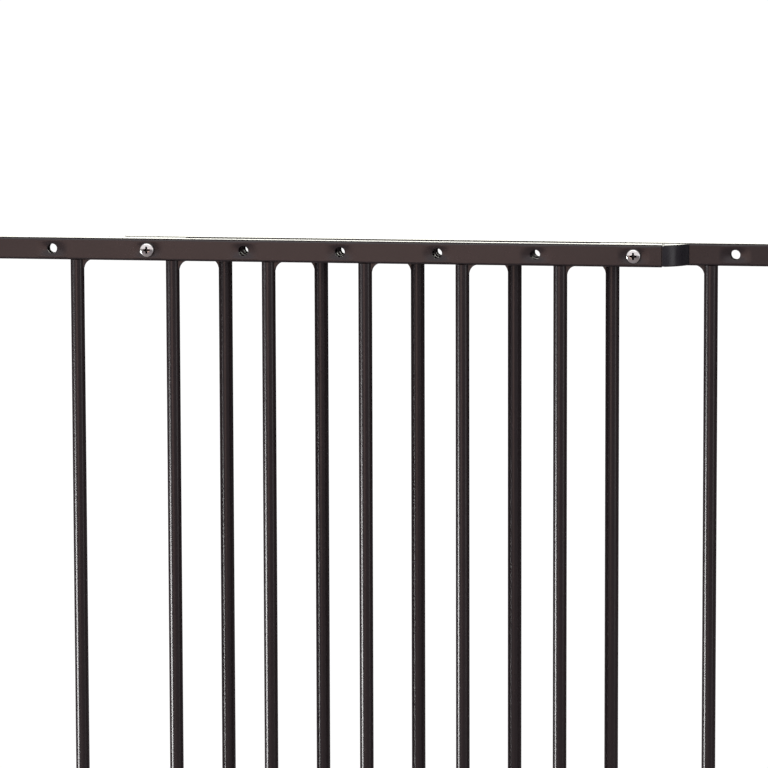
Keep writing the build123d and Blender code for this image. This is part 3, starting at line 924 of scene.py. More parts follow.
@dataclass(frozen=True)
class Guide:
    """Nylon guide: a plug in the rail, a curved nose past its end and a tongue in the gap."""

    nose_middle: Point = (8.5, 4.7)
    nose_length: float = 16.5
    tongue_length: float = 41.0
    plug_length: float = 40.0
    plug: RailPlug = RailPlug()
    shrink: float = 0.3
    edge_round: float = 0.9
    collar_width: float = 1.4
    collar_depth: float = 0.25
    collar_stop: float = 0.6
    bore_radius: float = 2.7

    def form(self, depth: float, height: float, gap_back: float, hole_back: float) -> Form:
        """Shape the guide in its panel's own directions, from the middle of the rail's end.

        Args:
            depth: Depth of the rail.
            height: Height of the rail.
            gap_back: How far the tongue reaches past the rail's middle, across the gap.
            hole_back: How far the clamping screw lies from the rail's end.

        Returns:
            The guide. X runs out of the rail's end and Y towards the other panel.
        """
        front = -depth / 2 + self.shrink
        half = height / 2 - self.shrink
        start, through, end = (Vector((0, front, 0)),
                               Vector((self.nose_middle[0], front + self.nose_middle[1], 0)),
                               Vector((self.nose_length, gap_back, 0)))
        outline = self.bow(start, through, end)
        outline += [(-self.tongue_length, gap_back), (-self.tongue_length, depth / 2),
                    (0, depth / 2)]
        body = Form.prism(outline, Matrix.Translation((0, 0, -half)), 2 * half)
        body.soften(self.edge_round, 4, lambda edge: all(
            vert.co.x > -WELD_DISTANCE or vert.co.y > depth / 2 + 1 for vert in edge.verts))
        groove = Form.block((-PAST, -depth, -height),
                            (self.collar_width, depth / 2 - self.collar_stop, height))
        groove_core = Form.block(
            (-2 * PAST, front + self.collar_depth, -half + self.collar_depth),
            (self.collar_width + PAST, depth, half - self.collar_depth))
        body.remove(groove.remove(groove_core))
        plug = self.plug.form(-self.plug_length, self.collar_width / 2, 0.0, 0.0)
        bore = Form.rod(self.bore_radius, -depth, gap_back + PAST, Vector((-hole_back, 0, 0)), Y,
                        steps=32)
        return body.join(plug).remove(bore)

    def bow(self, start: Vector, through: Vector, end: Vector, steps: int = 14) -> list[Point]:
        """Points on the circle through three points, from the first to the last."""
        a, b = through - start, end - start
        twice = 2 * (a.x * b.y - a.y * b.x)
        centre = start + Vector(((b.y * a.length_squared - a.y * b.length_squared) / twice,
                                 (a.x * b.length_squared - b.x * a.length_squared) / twice, 0))
        angles = [math.degrees(math.atan2(p.y - centre.y, p.x - centre.x)) for p in (start, end)]
        if angles[1] - angles[0] > 180:
            angles[1] -= 360
        elif angles[1] - angles[0] < -180:
            angles[1] += 360
        return arc((centre.x, centre.y), (start - centre).length, *angles, steps)


@dataclass(frozen=True)
class BarredPanel:
    """One panel: two pierced rails, nine welded bars, two guides and its clamping hardware."""

    side: Side
    bar_count: int = 9
    bar_wall: float = 0.8
    bar_steps: int = 64
    web_reach: float = 5.2
    web_drop: float = 5.5
    web_bow: float = 0.9
    web_thickness: float = 4.0
    web_edge: float = 1.3
    web_root: float = 0.4
    rail: PiercedRail = PiercedRail()
    guide: Guide = Guide()
    screw: PanHeadScrew = PanHeadScrew()
    nut: FlangeNut = FlangeNut()

    def bar_node(self, number: int) -> str:
        """Name of a bar's CAD node, counted from the outer end."""
        return f"{self.side.label}_bar_{number}"

    def rail_node(self, level: Level) -> str:
        """Name of a rail's CAD node."""
        return f"{self.side.label}_{level.value}_rail"

    def hole_places(self) -> list[float]:
        """X of each hole: a quarter pitch outside every bar, and one more past the last bar."""
        bars = [middle(self.bar_node(number + 1)).x for number in range(self.bar_count)]
        pitch = bars[1] - bars[0]
        return [bar - pitch / 4 for bar in bars] + [bars[-1] + pitch * 3 / 4]

    def build(self) -> None:
        """Make every piece of the panel."""
        self.build_rails()
        self.build_bars()
        self.build_webs()
        self.build_guides()
        self.build_clamps()

    def build_rails(self) -> None:
        """Make the two pierced rails."""
        for level in Level:
            node = self.rail_node(level)
            low, high = box_mm(node)
            self.rail.form(low, high, self.hole_places()).piece(f"{node}_tube", COAT, node)

    def build_bars(self) -> None:
        """Make the bars as tubes that stand between the rails."""
        for number in range(1, self.bar_count + 1):
            node = self.bar_node(number)
            low, high = box_mm(node)
            radius = (high.x - low.x) / 2
            loop = [(radius, 0.0), (radius, high.z - low.z),
                    (radius - self.bar_wall, high.z - low.z), (radius - self.bar_wall, 0.0)]
            foot = Vector(((low.x + high.x) / 2, (low.y + high.y) / 2, low.z))
            Form.turned(loop, foot, Z, self.bar_steps, ring=True).piece(f"{node}_tube", COAT, node)

    def build_webs(self) -> None:
        """Make the webs that fill the corner between each bar and rail, on the inner side."""
        webs = []
        for number in range(1, self.bar_count + 1):
            low, high = box_mm(self.bar_node(number))
            centre = (low + high) / 2
            radius = (high.x - low.x) / 2
            for rail_face, up in ((low.z, 1), (high.z, -1)):
                place = Matrix.Translation((centre.x, centre.y, rail_face))
                mirror = Matrix.Diagonal((self.side.inwards, 1, up, 1))
                web = self.web(radius).moved(place @ mirror)
                bmesh.ops.recalc_face_normals(web.mesh, faces=web.mesh.faces)
                webs.append(web)
        label = self.side.label
        Form.together(webs).piece(f"{label}_corner_welds", COAT, f"{label}_corner_webs")

    def web(self, bar_radius: float) -> Form:
        """One web with its bar's foot at the origin, filling the corner towards +X and +Z."""
        edge = bar_radius - self.web_root
        chord_middle = (bar_radius + self.web_reach / 2 - self.web_bow,
                        self.web_drop / 2 - self.web_bow)
        bow = self.guide.bow(Vector((bar_radius + self.web_reach, 0, 0)),
                             Vector((*chord_middle, 0)),
                             Vector((bar_radius - 0.1, self.web_drop, 0)), steps=8)
        outline = [(edge, 0.0)] + bow + [(edge, self.web_drop)]
        place = sides_to(Vector((0, self.web_thickness / 2, 0)), X, Z)
        web = Form.prism(outline, place, self.web_thickness)

        def on_bow(line: bmesh.types.BMEdge) -> bool:
            """Whether an edge follows the hollow face."""
            first, last = line.verts
            return (abs(first.co.y - last.co.y) < 0.1
                    and all(vert.co.x > bar_radius - 0.2 and vert.co.z > -0.1
                            for vert in line.verts)
                    and not all(vert.co.z < 0.1 for vert in line.verts)
                    and (first.co - last.co).length > 0.1)

        return web.soften(self.web_edge, 4, on_bow)

    def build_guides(self) -> None:
        """Make the guide in the inner end of each rail."""
        for level in Level:
            node = f"{self.side.label}_{level.value}_guide"
            low, high = box_mm(self.rail_node(level))
            guide_low, guide_high = box_mm(node)
            end_x = high.x if self.side is Side.FRONT else low.x
            rail_middle = (low + high) / 2
            gap_back = (guide_high.y - rail_middle.y if self.side is Side.FRONT
                        else rail_middle.y - guide_low.y)
            hole_back = abs(end_x - self.hole_places()[-1])
            guide = self.guide.form(high.y - low.y, high.z - low.z, gap_back, hole_back)
            turn = Matrix.Rotation(0.0 if self.side is Side.FRONT else math.pi, 4, "Z")
            guide.moved(Matrix.Translation((end_x, rail_middle.y, rail_middle.z)) @ turn)
            guide.piece(f"{node}_moulding", GUIDE_NYLON, node)

    def build_clamps(self) -> None:
        """Make the two clamping screws with their nuts, all entered from the front."""
        clamp_x = self.hole_places()[-1]
        front = box_mm("front_upper_rail")[0].y
        back = box_mm("rear_upper_rail")[1].y
        heights = [middle(self.rail_node(level)).z for level in Level]
        screws = [self.screw.form(Vector((clamp_x, front, height)), -Y) for height in heights]
        nuts = [self.nut.form(Vector((clamp_x, back, height)), Y) for height in heights]
        label = self.side.label
        Form.together(screws).piece(f"{label}_clamp_screw_pair", ZINC, f"{label}_clamp_screws")
        Form.together(nuts).piece(f"{label}_clamp_nut_pair", ZINC, f"{label}_clamp_nuts")


# ---------------------------------------------------------------- wall side, latch and keepers


@dataclass(frozen=True)
class WallPlate:
    """Moulded plate with two countersunk holes for 4 mm wall screws."""

    thickness: float = 4.5
    corner: float = 6.0
    corner_steps: int = 8
    hole_radius: float = 2.25
    sink_radius: float = 4.25
    sink_depth: float = 2.3
    hole_spacing: float = 44.0
    edge_round: float = 0.9
    root_round: float = 1.5

    def blank(self, wall_x: float, out: int, centre: Vector, width: float,
              height: float) -> Form:
        """Plate with round corners, standing on the wall.

        Args:
            wall_x: X of the wall.
            out: Sign of the direction from the wall into the doorway.
            centre: Point whose Y and Z are the middle of the plate.
            width: Width of the plate along Y.
            height: Height of the plate.

        Returns:
            The plate without its holes.
        """
        ends = sorted((wall_x, wall_x + out * self.thickness))
        plate = Form.block((ends[0], centre.y - width / 2, centre.z - height / 2),
                           (ends[1], centre.y + width / 2, centre.z + height / 2))
        return plate.soften(self.corner, self.corner_steps, across_x)

    def round_off(self, form: Form, wall_x: float) -> Form:
        """Fill the inner corners and round the outer edges, apart from those on the wall."""
        def off_wall(edge: bmesh.types.BMEdge) -> bool:
            """Whether an edge is clear of the wall."""
            return any(abs(vert.co.x - wall_x) > WELD_DISTANCE for vert in edge.verts)

        low, high = form.reach()
        form.soften(self.root_round, 4, lambda edge: off_wall(edge) and not edge.is_convex
                    and all(low.y + self.root_round < vert.co.y < high.y - self.root_round
                            for vert in edge.verts))
        return form.soften(self.edge_round, 3, lambda edge: off_wall(edge) and edge.is_convex)

    def drill(self, form: Form, wall_x: float, out: int, centre: Vector) -> Form:
        """Cut the two countersunk holes."""
        for up in (-1, 1):
            mouth = Vector((wall_x, centre.y, centre.z + up * self.hole_spacing / 2))
            profile = [(0, -PAST), (self.hole_radius, -PAST),
                       (self.hole_radius, self.thickness - self.sink_depth),
                       (self.sink_radius, self.thickness),
                       (self.sink_radius + 0.3, self.thickness + PAST),
                       (0, self.thickness + PAST)]
            form.remove(Form.turned(profile, mouth, out * X, steps=40))
        return form


@dataclass(frozen=True)
class Hinges:
    """Both hinges: wall brackets with pins and caps, and the bushed eyes in the rail ends."""

    plate: WallPlate = WallPlate()
    arm_thickness: float = 8.0
    rib_thickness: float = 4.0
    rib_drop: float = 12.0
    rib_reach: float = 19.0
    pin_chamfer: float = 0.8
    press_gap: float = 0.02
    bush_wall: float = 1.5
    running_gap: float = 0.05
    flange_height: float = 1.0
    fine_edge: float = 0.3
    eye_root: float = 2.2
    plug: RailPlug = RailPlug()
    rail_corner: float = 1.5
    cap_round: float = 1.2
    cap_bore_depth: float = 2.7
    screw: PanHeadScrew = PanHeadScrew(length=7.2, thread_turns=5)

    def build(self) -> None:
        """Make every piece of the two hinges."""
        for level in Level:
            self.build_bracket(level)
            self.build_pin(level)
            self.build_bush(level)
            self.build_eye(level)
        self.build_caps()
        self.build_screws()

    def pin(self, level: Level) -> tuple[Vector, float, float]:
        """Foot of a hinge pin, its radius and its length."""
        low, high = box_mm(f"{level.value}_hinge_pin")
        foot = Vector(((low.x + high.x) / 2, (low.y + high.y) / 2, low.z))
        return foot, (high.x - low.x) / 2, high.z - low.z

    def build_bracket(self, level: Level) -> None:
        """Make a bracket: plate, round-ended arm and a rib below the arm."""
        node = f"{level.value}_hinge_bracket"
        low, high = box_mm(node)
        centre = (low + high) / 2
        foot, pin_radius, _ = self.pin(level)
        bracket = self.plate.blank(low.x, 1, centre, high.y - low.y, high.z - low.z)
        arm_radius = high.x - foot.x
        outline = [(low.x, -arm_radius), *arc((foot.x, 0), arm_radius, -90, 90, 24),
                   (low.x, arm_radius)]
        arm_low = foot.z
        arm = Form.prism(outline, Matrix.Translation((0, centre.y, arm_low)), self.arm_thickness)
        rib_outline = [(low.x, arm_low + PAST), (self.rib_reach, arm_low + PAST),
                       (self.rib_reach, arm_low), (self.plate.thickness, arm_low - self.rib_drop),
                       (low.x, arm_low - self.rib_drop)]
        rib = Form.prism(rib_outline, sides_to(Vector((0, centre.y + self.rib_thickness / 2, 0)),
                                               X, Z), self.rib_thickness)
        self.plate.round_off(bracket.join(arm, rib), low.x)
        bore, top = pin_radius + self.press_gap, self.arm_thickness
        socket = Form.turned([(0, -PAST), (bore, -PAST), (bore, top - self.fine_edge),
                              (pin_radius + self.fine_edge + PAST, top + PAST),
                              (0, top + PAST)], foot, Z)
        self.plate.drill(bracket.remove(socket), low.x, 1, centre)
        bracket.piece(f"{node}_moulding", BLACK_ABS, node)

    def build_pin(self, level: Level) -> None:
        """Make a hinge pin, chamfered at the top."""
        foot, radius, length = self.pin(level)
        profile = [(0, 0), (radius - self.fine_edge, 0), (radius, self.fine_edge),
                   (radius, length - self.pin_chamfer),
                   (radius - self.pin_chamfer, length), (0, length)]
        node = f"{level.value}_hinge_pin"
        Form.turned(profile, foot, Z).piece(f"{node}_rod", PIN_STEEL, node)

    def build_bush(self, level: Level) -> None:
        """Make a flanged bush."""
        node = f"{level.value}_hinge_bush"
        low, high = box_mm(node)
        foot, pin_radius, _ = self.pin(level)
        foot.z = low.z
        bore = pin_radius + self.running_gap
        sleeve, flange = bore + self.bush_wall, (high.x - low.x) / 2
        top = high.z - low.z
        fine = self.fine_edge
        loop = [(bore, fine), (bore + fine, 0), (flange - fine, 0), (flange, fine),
                (flange, self.flange_height - fine), (flange - fine, self.flange_height),
                (sleeve, self.flange_height), (sleeve, top), (bore + fine, top),
                (bore, top - fine)]
        Form.turned(loop, foot, Z, ring=True).piece(f"{node}_sleeve", BUSH_NYLON, node)

    def build_eye(self, level: Level) -> None:
        """Make an eye: a ring with a neck of the rail's section and a plug in the rail."""
        node = f"{level.value}_hinge_eye"
        low, high = box_mm(node)
        rail_low, rail_high = box_mm(f"front_{level.value}_rail")
        foot, pin_radius, _ = self.pin(level)
        foot.z = low.z
        radius, height = foot.x - low.x, high.z - low.z
        eye = Form.rod(radius, 0, height, foot, Z, steps=64)
        neck = Form.block((foot.x, rail_low.y, rail_low.z), (rail_low.x, rail_high.y, rail_high.z))
        eye.join(neck)
        eye.soften(self.eye_root, 4, lambda edge: upright(edge) and not edge.is_convex)
        eye.soften(self.rail_corner, 4, lambda edge: edge.is_convex and not all(
            vert.co.x > rail_low.x - WELD_DISTANCE for vert in edge.verts))
        middle_z = (rail_low.z + rail_high.z) / 2
        plug = self.plug.form(rail_low.x - PAST, high.x, 0.0, middle_z)
        sleeve = pin_radius + self.running_gap + self.bush_wall + self.press_gap
        bore = Form.rod(sleeve, -PAST, height + PAST, foot, Z)
        drilled = self.plug.drill(self.screw.shank_radius + self.running_gap,
                                  Vector((middle("hinge_eye_screws").x, 0, middle_z)))
        eye.join(plug).remove(bore, drilled).piece(f"{node}_moulding", BLACK_ABS, node)

    def build_caps(self) -> None:
        """Make the two push-on caps over the pins."""
        low, high = box_mm("hinge_pin_caps")
        radius = (high.x - low.x) / 2
        caps = []
        for level in Level:
            foot, pin_radius, length = self.pin(level)
            height = high.z - (self.pin(Level.UPPER)[0].z + length) + self.cap_bore_depth
            base = Vector((foot.x, foot.y, foot.z + length - self.cap_bore_depth))
            bore = pin_radius + self.press_gap
            profile = [(0, height), *arc((radius - self.cap_round, height - self.cap_round),
                                         self.cap_round, 90, 0, 6),
                       (radius, self.fine_edge), (radius - self.fine_edge, 0), (bore, 0),
                       (bore, self.cap_bore_depth), (0, self.cap_bore_depth)]
            caps.append(Form.turned(profile, base, Z, steps=56))
        Form.together(caps).piece("hinge_pin_cap_pair", BLACK_ABS, "hinge_pin_caps")

    def build_screws(self) -> None:
        """Make the screws that hold the eyes in the rails."""
        screws = []
        for level in Level:
            low, high = box_mm(f"front_{level.value}_rail")
            seat = Vector((middle("hinge_eye_screws").x, low.y, (low.z + high.z) / 2))
            screws.append(self.screw.form(seat, -Y))
        Form.together(screws).piece("hinge_eye_screw_pair", ZINC, "hinge_eye_screws")


@dataclass(frozen=True)
class Latch:
    """Sliding latch on the top rail and fixed tongue on the bottom rail of the rear panel."""

    case_corner: float = 2.5
    case_edge: float = 1.25
    seam_edge: float = 0.3
    fit: float = 0.1
    bolt_gap: float = 0.05
    bolt_end_gap: float = 1.0
    bolt_chamfer: float = 1.0
    bolt_edge: float = 0.3
    bore_length: float = 60.0
    slot_corner: float = 1.0
    bolt_travel: float = 12.0
    stem_length: float = 6.0
    stem_width: float = 5.0
    stem_gap: float = 0.3
    stem_sink: float = 3.0
    stem_setback: float = 6.0
    thumb_corner: float = 1.5
    thumb_edge: float = 0.7
    ridge_count: int = 3
    ridge_pitch: float = 4.5
    ridge_width: float = 1.8
    ridge_height: float = 1.2
    ridge_edge: float = 0.5
    screw_hole_gap: float = 0.15
    screw_bite: float = 7.0
    rail_corner: float = 1.5
    plug: RailPlug = RailPlug()
    tongue_neck: float = 4.0
    tongue_height: float = 8.0
    tongue_chamfer: float = 1.5
    tongue_edge: float = 0.6
    case_screw: PanHeadScrew = PanHeadScrew(
        head_radius=3.75, head_height=2.4, shoulder=1.3, shank_radius=2.0, length=18.0,
        thread_pitch=0.7, thread_depth=0.33, recess_span=4.1, recess_width=1.05, recess_depth=1.6)
    tongue_screw: PanHeadScrew = PanHeadScrew(length=7.2, thread_turns=5)

    def build(self) -> None:
        """Make every piece of the latch end."""
        self.build_case()
        self.build_case_screws()
        self.build_bolt()
        self.build_thumb()
        self.build_tongue()
        self.build_tongue_screw()

    def screw_places(self) -> list[Vector]:
        """Where the two case screws' heads sit on the front of the case."""
        low, high = box_mm("latch_case_screws")
        front = box_mm("latch_case_front")[0].y
        height = (low.z + high.z) / 2
        radius = self.case_screw.head_radius
        return [Vector((low.x + radius, front, height)), Vector((high.x - radius, front, height))]

    def stem_x(self) -> float:
        """X of the stem that joins the thumb slider to the bolt."""
        return box_mm("latch_bolt")[0].x + self.stem_setback

    def build_case(self) -> None:
        """Make the two shells of the case, clamped round the end of the top rail."""
        low = box_mm("latch_case_front")[0]
        high = box_mm("latch_case_back")[1]
        seam_y = box_mm("latch_case_back")[0].y
        rail_low, rail_high = box_mm("rear_upper_rail")
        bolt_low, bolt_high = box_mm("latch_bolt")
        bolt_middle = (bolt_low + bolt_high) / 2
        bolt_radius = (bolt_high.z - bolt_low.z) / 2
        bore_start = Vector((bolt_low.x - self.bolt_end_gap, bolt_middle.y, bolt_middle.z))
        for node, y_from, y_to in (("latch_case_front", low.y - PAST, seam_y),
                                   ("latch_case_back", seam_y, high.y + PAST)):
            shell = Form.block(low, high).soften(self.case_corner, 6, upright)
            shell.soften(self.case_edge, 4)
            half = Form.block((low.x - PAST, y_from, low.z - PAST),
                              (high.x + PAST, y_to, high.z + PAST))
            shell.boolean(half, Cut.KEEP_COMMON)
            shell.soften(self.seam_edge, 2, lambda edge: all(
                abs(vert.co.y - seam_y) < WELD_DISTANCE for vert in edge.verts))
            gap = Vector((self.fit, self.fit, self.fit))
            pocket = Form.block(Vector((low.x - PAST, rail_low.y, rail_low.z)) - gap,
                                rail_high + gap)
            pocket.soften(self.rail_corner, 4, across_x)
            bore = Form.rod(bolt_radius + self.bolt_gap, 0, self.bore_length, bore_start, X)
            stem_x = self.stem_x()
            half_long = self.stem_length / 2 + self.stem_gap
            half_wide = self.stem_width / 2 + self.stem_gap
            slot = Form.block((stem_x - half_long, bolt_middle.y - half_wide, bolt_middle.z),
                              (stem_x + self.bolt_travel + half_long, bolt_middle.y + half_wide,
                               high.z + PAST)).soften(self.slot_corner, 4, upright)
            shell.remove(pocket, bore, slot)
            for place in self.screw_places():
                wide = self.case_screw.shank_radius + self.screw_hole_gap
                deep = seam_y - place.y + self.screw_bite
                shell.remove(Form.rod(wide, -PAST, deep, place, Y, steps=32))
            shell.piece(f"{node}_shell", BLACK_ABS, node)

    def build_case_screws(self) -> None:
        """Make the two screws that clamp the shells."""
        screws = [self.case_screw.form(place, -Y) for place in self.screw_places()]
        Form.together(screws).piece("latch_case_screw_pair", ZINC, "latch_case_screws")

    def build_bolt(self) -> None:
        """Make the round bolt, with the pocket for the slider's stem."""
        low, high = box_mm("latch_bolt")
        radius, length = (high.z - low.z) / 2, high.x - low.x
        foot = Vector((low.x, (low.y + high.y) / 2, (low.z + high.z) / 2))
        profile = [(0, 0), (radius - self.bolt_edge, 0), (radius, self.bolt_edge),
                   (radius, length - self.bolt_chamfer), (radius - self.bolt_chamfer, length),
                   (0, length)]
        half_long = self.stem_length / 2 + self.bolt_gap
        half_wide = self.stem_width / 2 + self.bolt_gap
        stem_x = self.stem_x()
        pocket = Form.block((stem_x - half_long, foot.y - half_wide, high.z - self.stem_sink),
                            (stem_x + half_long, foot.y + half_wide, high.z + PAST))
        bolt = Form.turned(profile, foot, X).remove(pocket)
        bolt.piece("latch_bolt_rod", BOLT_STEEL, "latch_bolt")

    def build_thumb(self) -> None:
        """Make the thumb slider: a ridged plate on top of the case, with a stem in the bolt."""
        low, high = box_mm("latch_thumb_slider")
        case_top = box_mm("latch_case_front")[1].z
        plate_top = high.z - self.ridge_height
        centre = (low + high) / 2
        thumb = Form.block((low.x, low.y, case_top), (high.x, high.y, plate_top))
        thumb.soften(self.thumb_corner, 5, upright)
        thumb.soften(self.thumb_edge, 3, lambda edge: all(
            vert.co.z > plate_top - WELD_DISTANCE for vert in edge.verts))
        for number in range(self.ridge_count):
            ridge_x = centre.x + (number - (self.ridge_count - 1) / 2) * self.ridge_pitch
            ridge = Form.block((ridge_x - self.ridge_width / 2, low.y + self.thumb_corner,
                                plate_top - PAST),
                               (ridge_x + self.ridge_width / 2, high.y - self.thumb_corner, high.z))
            ridge.soften(self.ridge_edge, 3, lambda edge: all(
                vert.co.z > high.z - WELD_DISTANCE for vert in edge.verts))
            thumb.join(ridge)
        stem = Form.block((centre.x - self.stem_length / 2, centre.y - self.stem_width / 2, low.z),
                          (centre.x + self.stem_length / 2, centre.y + self.stem_width / 2,
                           case_top + PAST))
        thumb.join(stem).piece("latch_thumb_slider_moulding", SLIDER_ABS, "latch_thumb_slider")

    def build_tongue(self) -> None:
        """Make the tongue in the end of the bottom rail."""
        low, high = box_mm("lower_latch_tongue")
        rail_low, rail_high = box_mm("rear_lower_rail")
        middle_y, middle_z = (rail_low.y + rail_high.y) / 2, (rail_low.z + rail_high.z) / 2
        neck_end = rail_high.x + self.tongue_neck
        tongue = Form.block((rail_high.x, rail_low.y, rail_low.z),
                            (neck_end, rail_high.y, rail_high.z))
        tongue.soften(self.rail_corner, 5, across_x)
        half, chamfer = self.tongue_height / 2, self.tongue_chamfer
        blade_section = [(neck_end - PAST, -half), (high.x - chamfer, -half),
                         (high.x, -half + chamfer), (high.x, half - chamfer),
                         (high.x - chamfer, half), (neck_end - PAST, half)]
        blade = Form.prism(blade_section, sides_to(Vector((0, rail_high.y, middle_z)), X, Z),
                           rail_high.y - rail_low.y)
        tongue.join(blade)
        tongue.soften(self.tongue_edge, 3, lambda edge: any(
            vert.co.x > rail_high.x + WELD_DISTANCE for vert in edge.verts))
        plug = self.plug.form(low.x, rail_high.x + PAST, middle_y, middle_z)
        hole = self.plug.drill(self.tongue_screw.shank_radius + self.bolt_gap,
                               Vector((middle("latch_tongue_screw").x, middle_y, middle_z)))
        tongue.join(plug).remove(hole)
        tongue.piece("lower_latch_tongue_moulding", BLACK_ABS, "lower_latch_tongue")

    def build_tongue_screw(self) -> None:
        """Make the screw that holds the tongue in its rail."""
        node = "latch_tongue_screw"
        seat = middle(node)
        seat.y = box_mm("rear_lower_rail")[0].y
        self.tongue_screw.form(seat, -Y).piece(f"{node}_zinc", ZINC, node)


@dataclass(frozen=True)
class Keepers:
    """The two keepers on the latch wall: a socket for the bolt and a channel for the tongue."""

    plate: WallPlate = WallPlate()
    socket_block: float = 20.0
    socket_gap: float = 0.7
    socket_floor: float = 2.0
    socket_corner: float = 0.8
    block_corner: float = 2.5
    reach: float = 13.0
    lip_thickness: float = 4.0
    lip_height: float = 28.0
    lip_gap: float = 0.3
    channel_gap: float = 0.6
    channel_flange: float = 3.5
    channel_front: float = 4.0
    way_reach: float = 20.0

    def build(self) -> None:
        """Make both keepers."""
        self.build_upper()
        self.build_lower()

    def build_upper(self) -> None:
        """Make the keeper with the bolt's socket and the lip behind the latch case."""
        node = "upper_keeper"
        low, high = box_mm(node)
        centre = (low + high) / 2
        bolt_low, bolt_high = box_mm("latch_bolt")
        bolt = (bolt_low + bolt_high) / 2
        plate_x = high.x - self.plate.thickness
        keeper = self.plate.blank(high.x, -1, centre, high.y - low.y, high.z - low.z)
        half = self.socket_block / 2
        block = Form.block((high.x - self.reach, bolt.y - half, bolt.z - half),
                           (plate_x + PAST, bolt.y + half, bolt.z + half))
        block.soften(self.block_corner, 5, across_x)
        lip_y = box_mm("latch_case_back")[1].y + self.lip_gap
        lip_half = self.lip_height / 2
        lip = Form.block((low.x, lip_y, bolt.z - lip_half),
                         (plate_x + PAST, lip_y + self.lip_thickness, bolt.z + lip_half))
        keeper.join(block, lip)
        self.plate.round_off(keeper, high.x)
        side = (bolt_high.z - bolt_low.z) / 2 + self.socket_gap
        socket = Form.block((low.x - PAST, bolt.y - side, bolt.z - side),
                            (high.x - self.socket_floor, bolt.y + side, bolt.z + side))
        keeper.remove(socket.soften(self.socket_corner, 3, across_x))
        self.plate.drill(keeper, high.x, -1, centre)
        keeper.piece(f"{node}_moulding", BLACK_ABS, node)

    def build_lower(self) -> None:
        """Make the keeper whose channel is open at the front for the tongue."""
        node = "lower_keeper"
        low, high = box_mm(node)
        centre = (low + high) / 2
        rail_low, rail_high = box_mm("rear_lower_rail")
        plate_x = high.x - self.plate.thickness
        tongue_z = (rail_low.z + rail_high.z) / 2
        back_y = rail_high.y + self.lip_gap
        inner_half = Latch().tongue_height / 2 + self.channel_gap
        outer_half = inner_half + self.channel_flange
        keeper = self.plate.blank(high.x, -1, centre, high.y - low.y, high.z - low.z)
        channel_y = rail_low.y + self.lip_gap - self.channel_front
        channel = Form.block((low.x, channel_y, tongue_z - outer_half),
                             (plate_x + PAST, back_y + self.lip_thickness,
                              tongue_z + outer_half))
        keeper.join(channel)
        way = Form.block((low.x - PAST, low.y - self.way_reach, tongue_z - inner_half),
                         (plate_x, back_y, tongue_z + inner_half))
        keeper.remove(way)
        self.plate.round_off(keeper, high.x)
        self.plate.drill(keeper, high.x, -1, centre)
        keeper.piece(f"{node}_moulding", BLACK_ABS, node)


# ---------------------------------------------------------------- studio


@dataclass(frozen=True)
class SoftBox:
    """A rectangular lamp: where it hangs, its width and height in metres, and its power."""

    name: str
    place: tuple[float, float, float]
    aim: tuple[float, float, float]
    size: tuple[float, float]
    power: float
    colour: str = "FFFFFF"

    def hang(self) -> None:
        """Put the lamp in the scene, turned to its aim."""
        light = bpy.data.lights.new(self.name, "AREA")
        light.shape = "RECTANGLE"
        light.size, light.size_y = self.size
        light.energy = self.power
        light.color = linear(self.colour)[:3]
        lamp = bpy.data.objects.new(self.name, light)
        bpy.context.scene.collection.objects.link(lamp)
        lamp.visible_camera = False
        lamp.location = self.place
        away = Vector(self.aim) - Vector(self.place)
        lamp.rotation_euler = away.to_track_quat("-Z", "Y").to_euler()


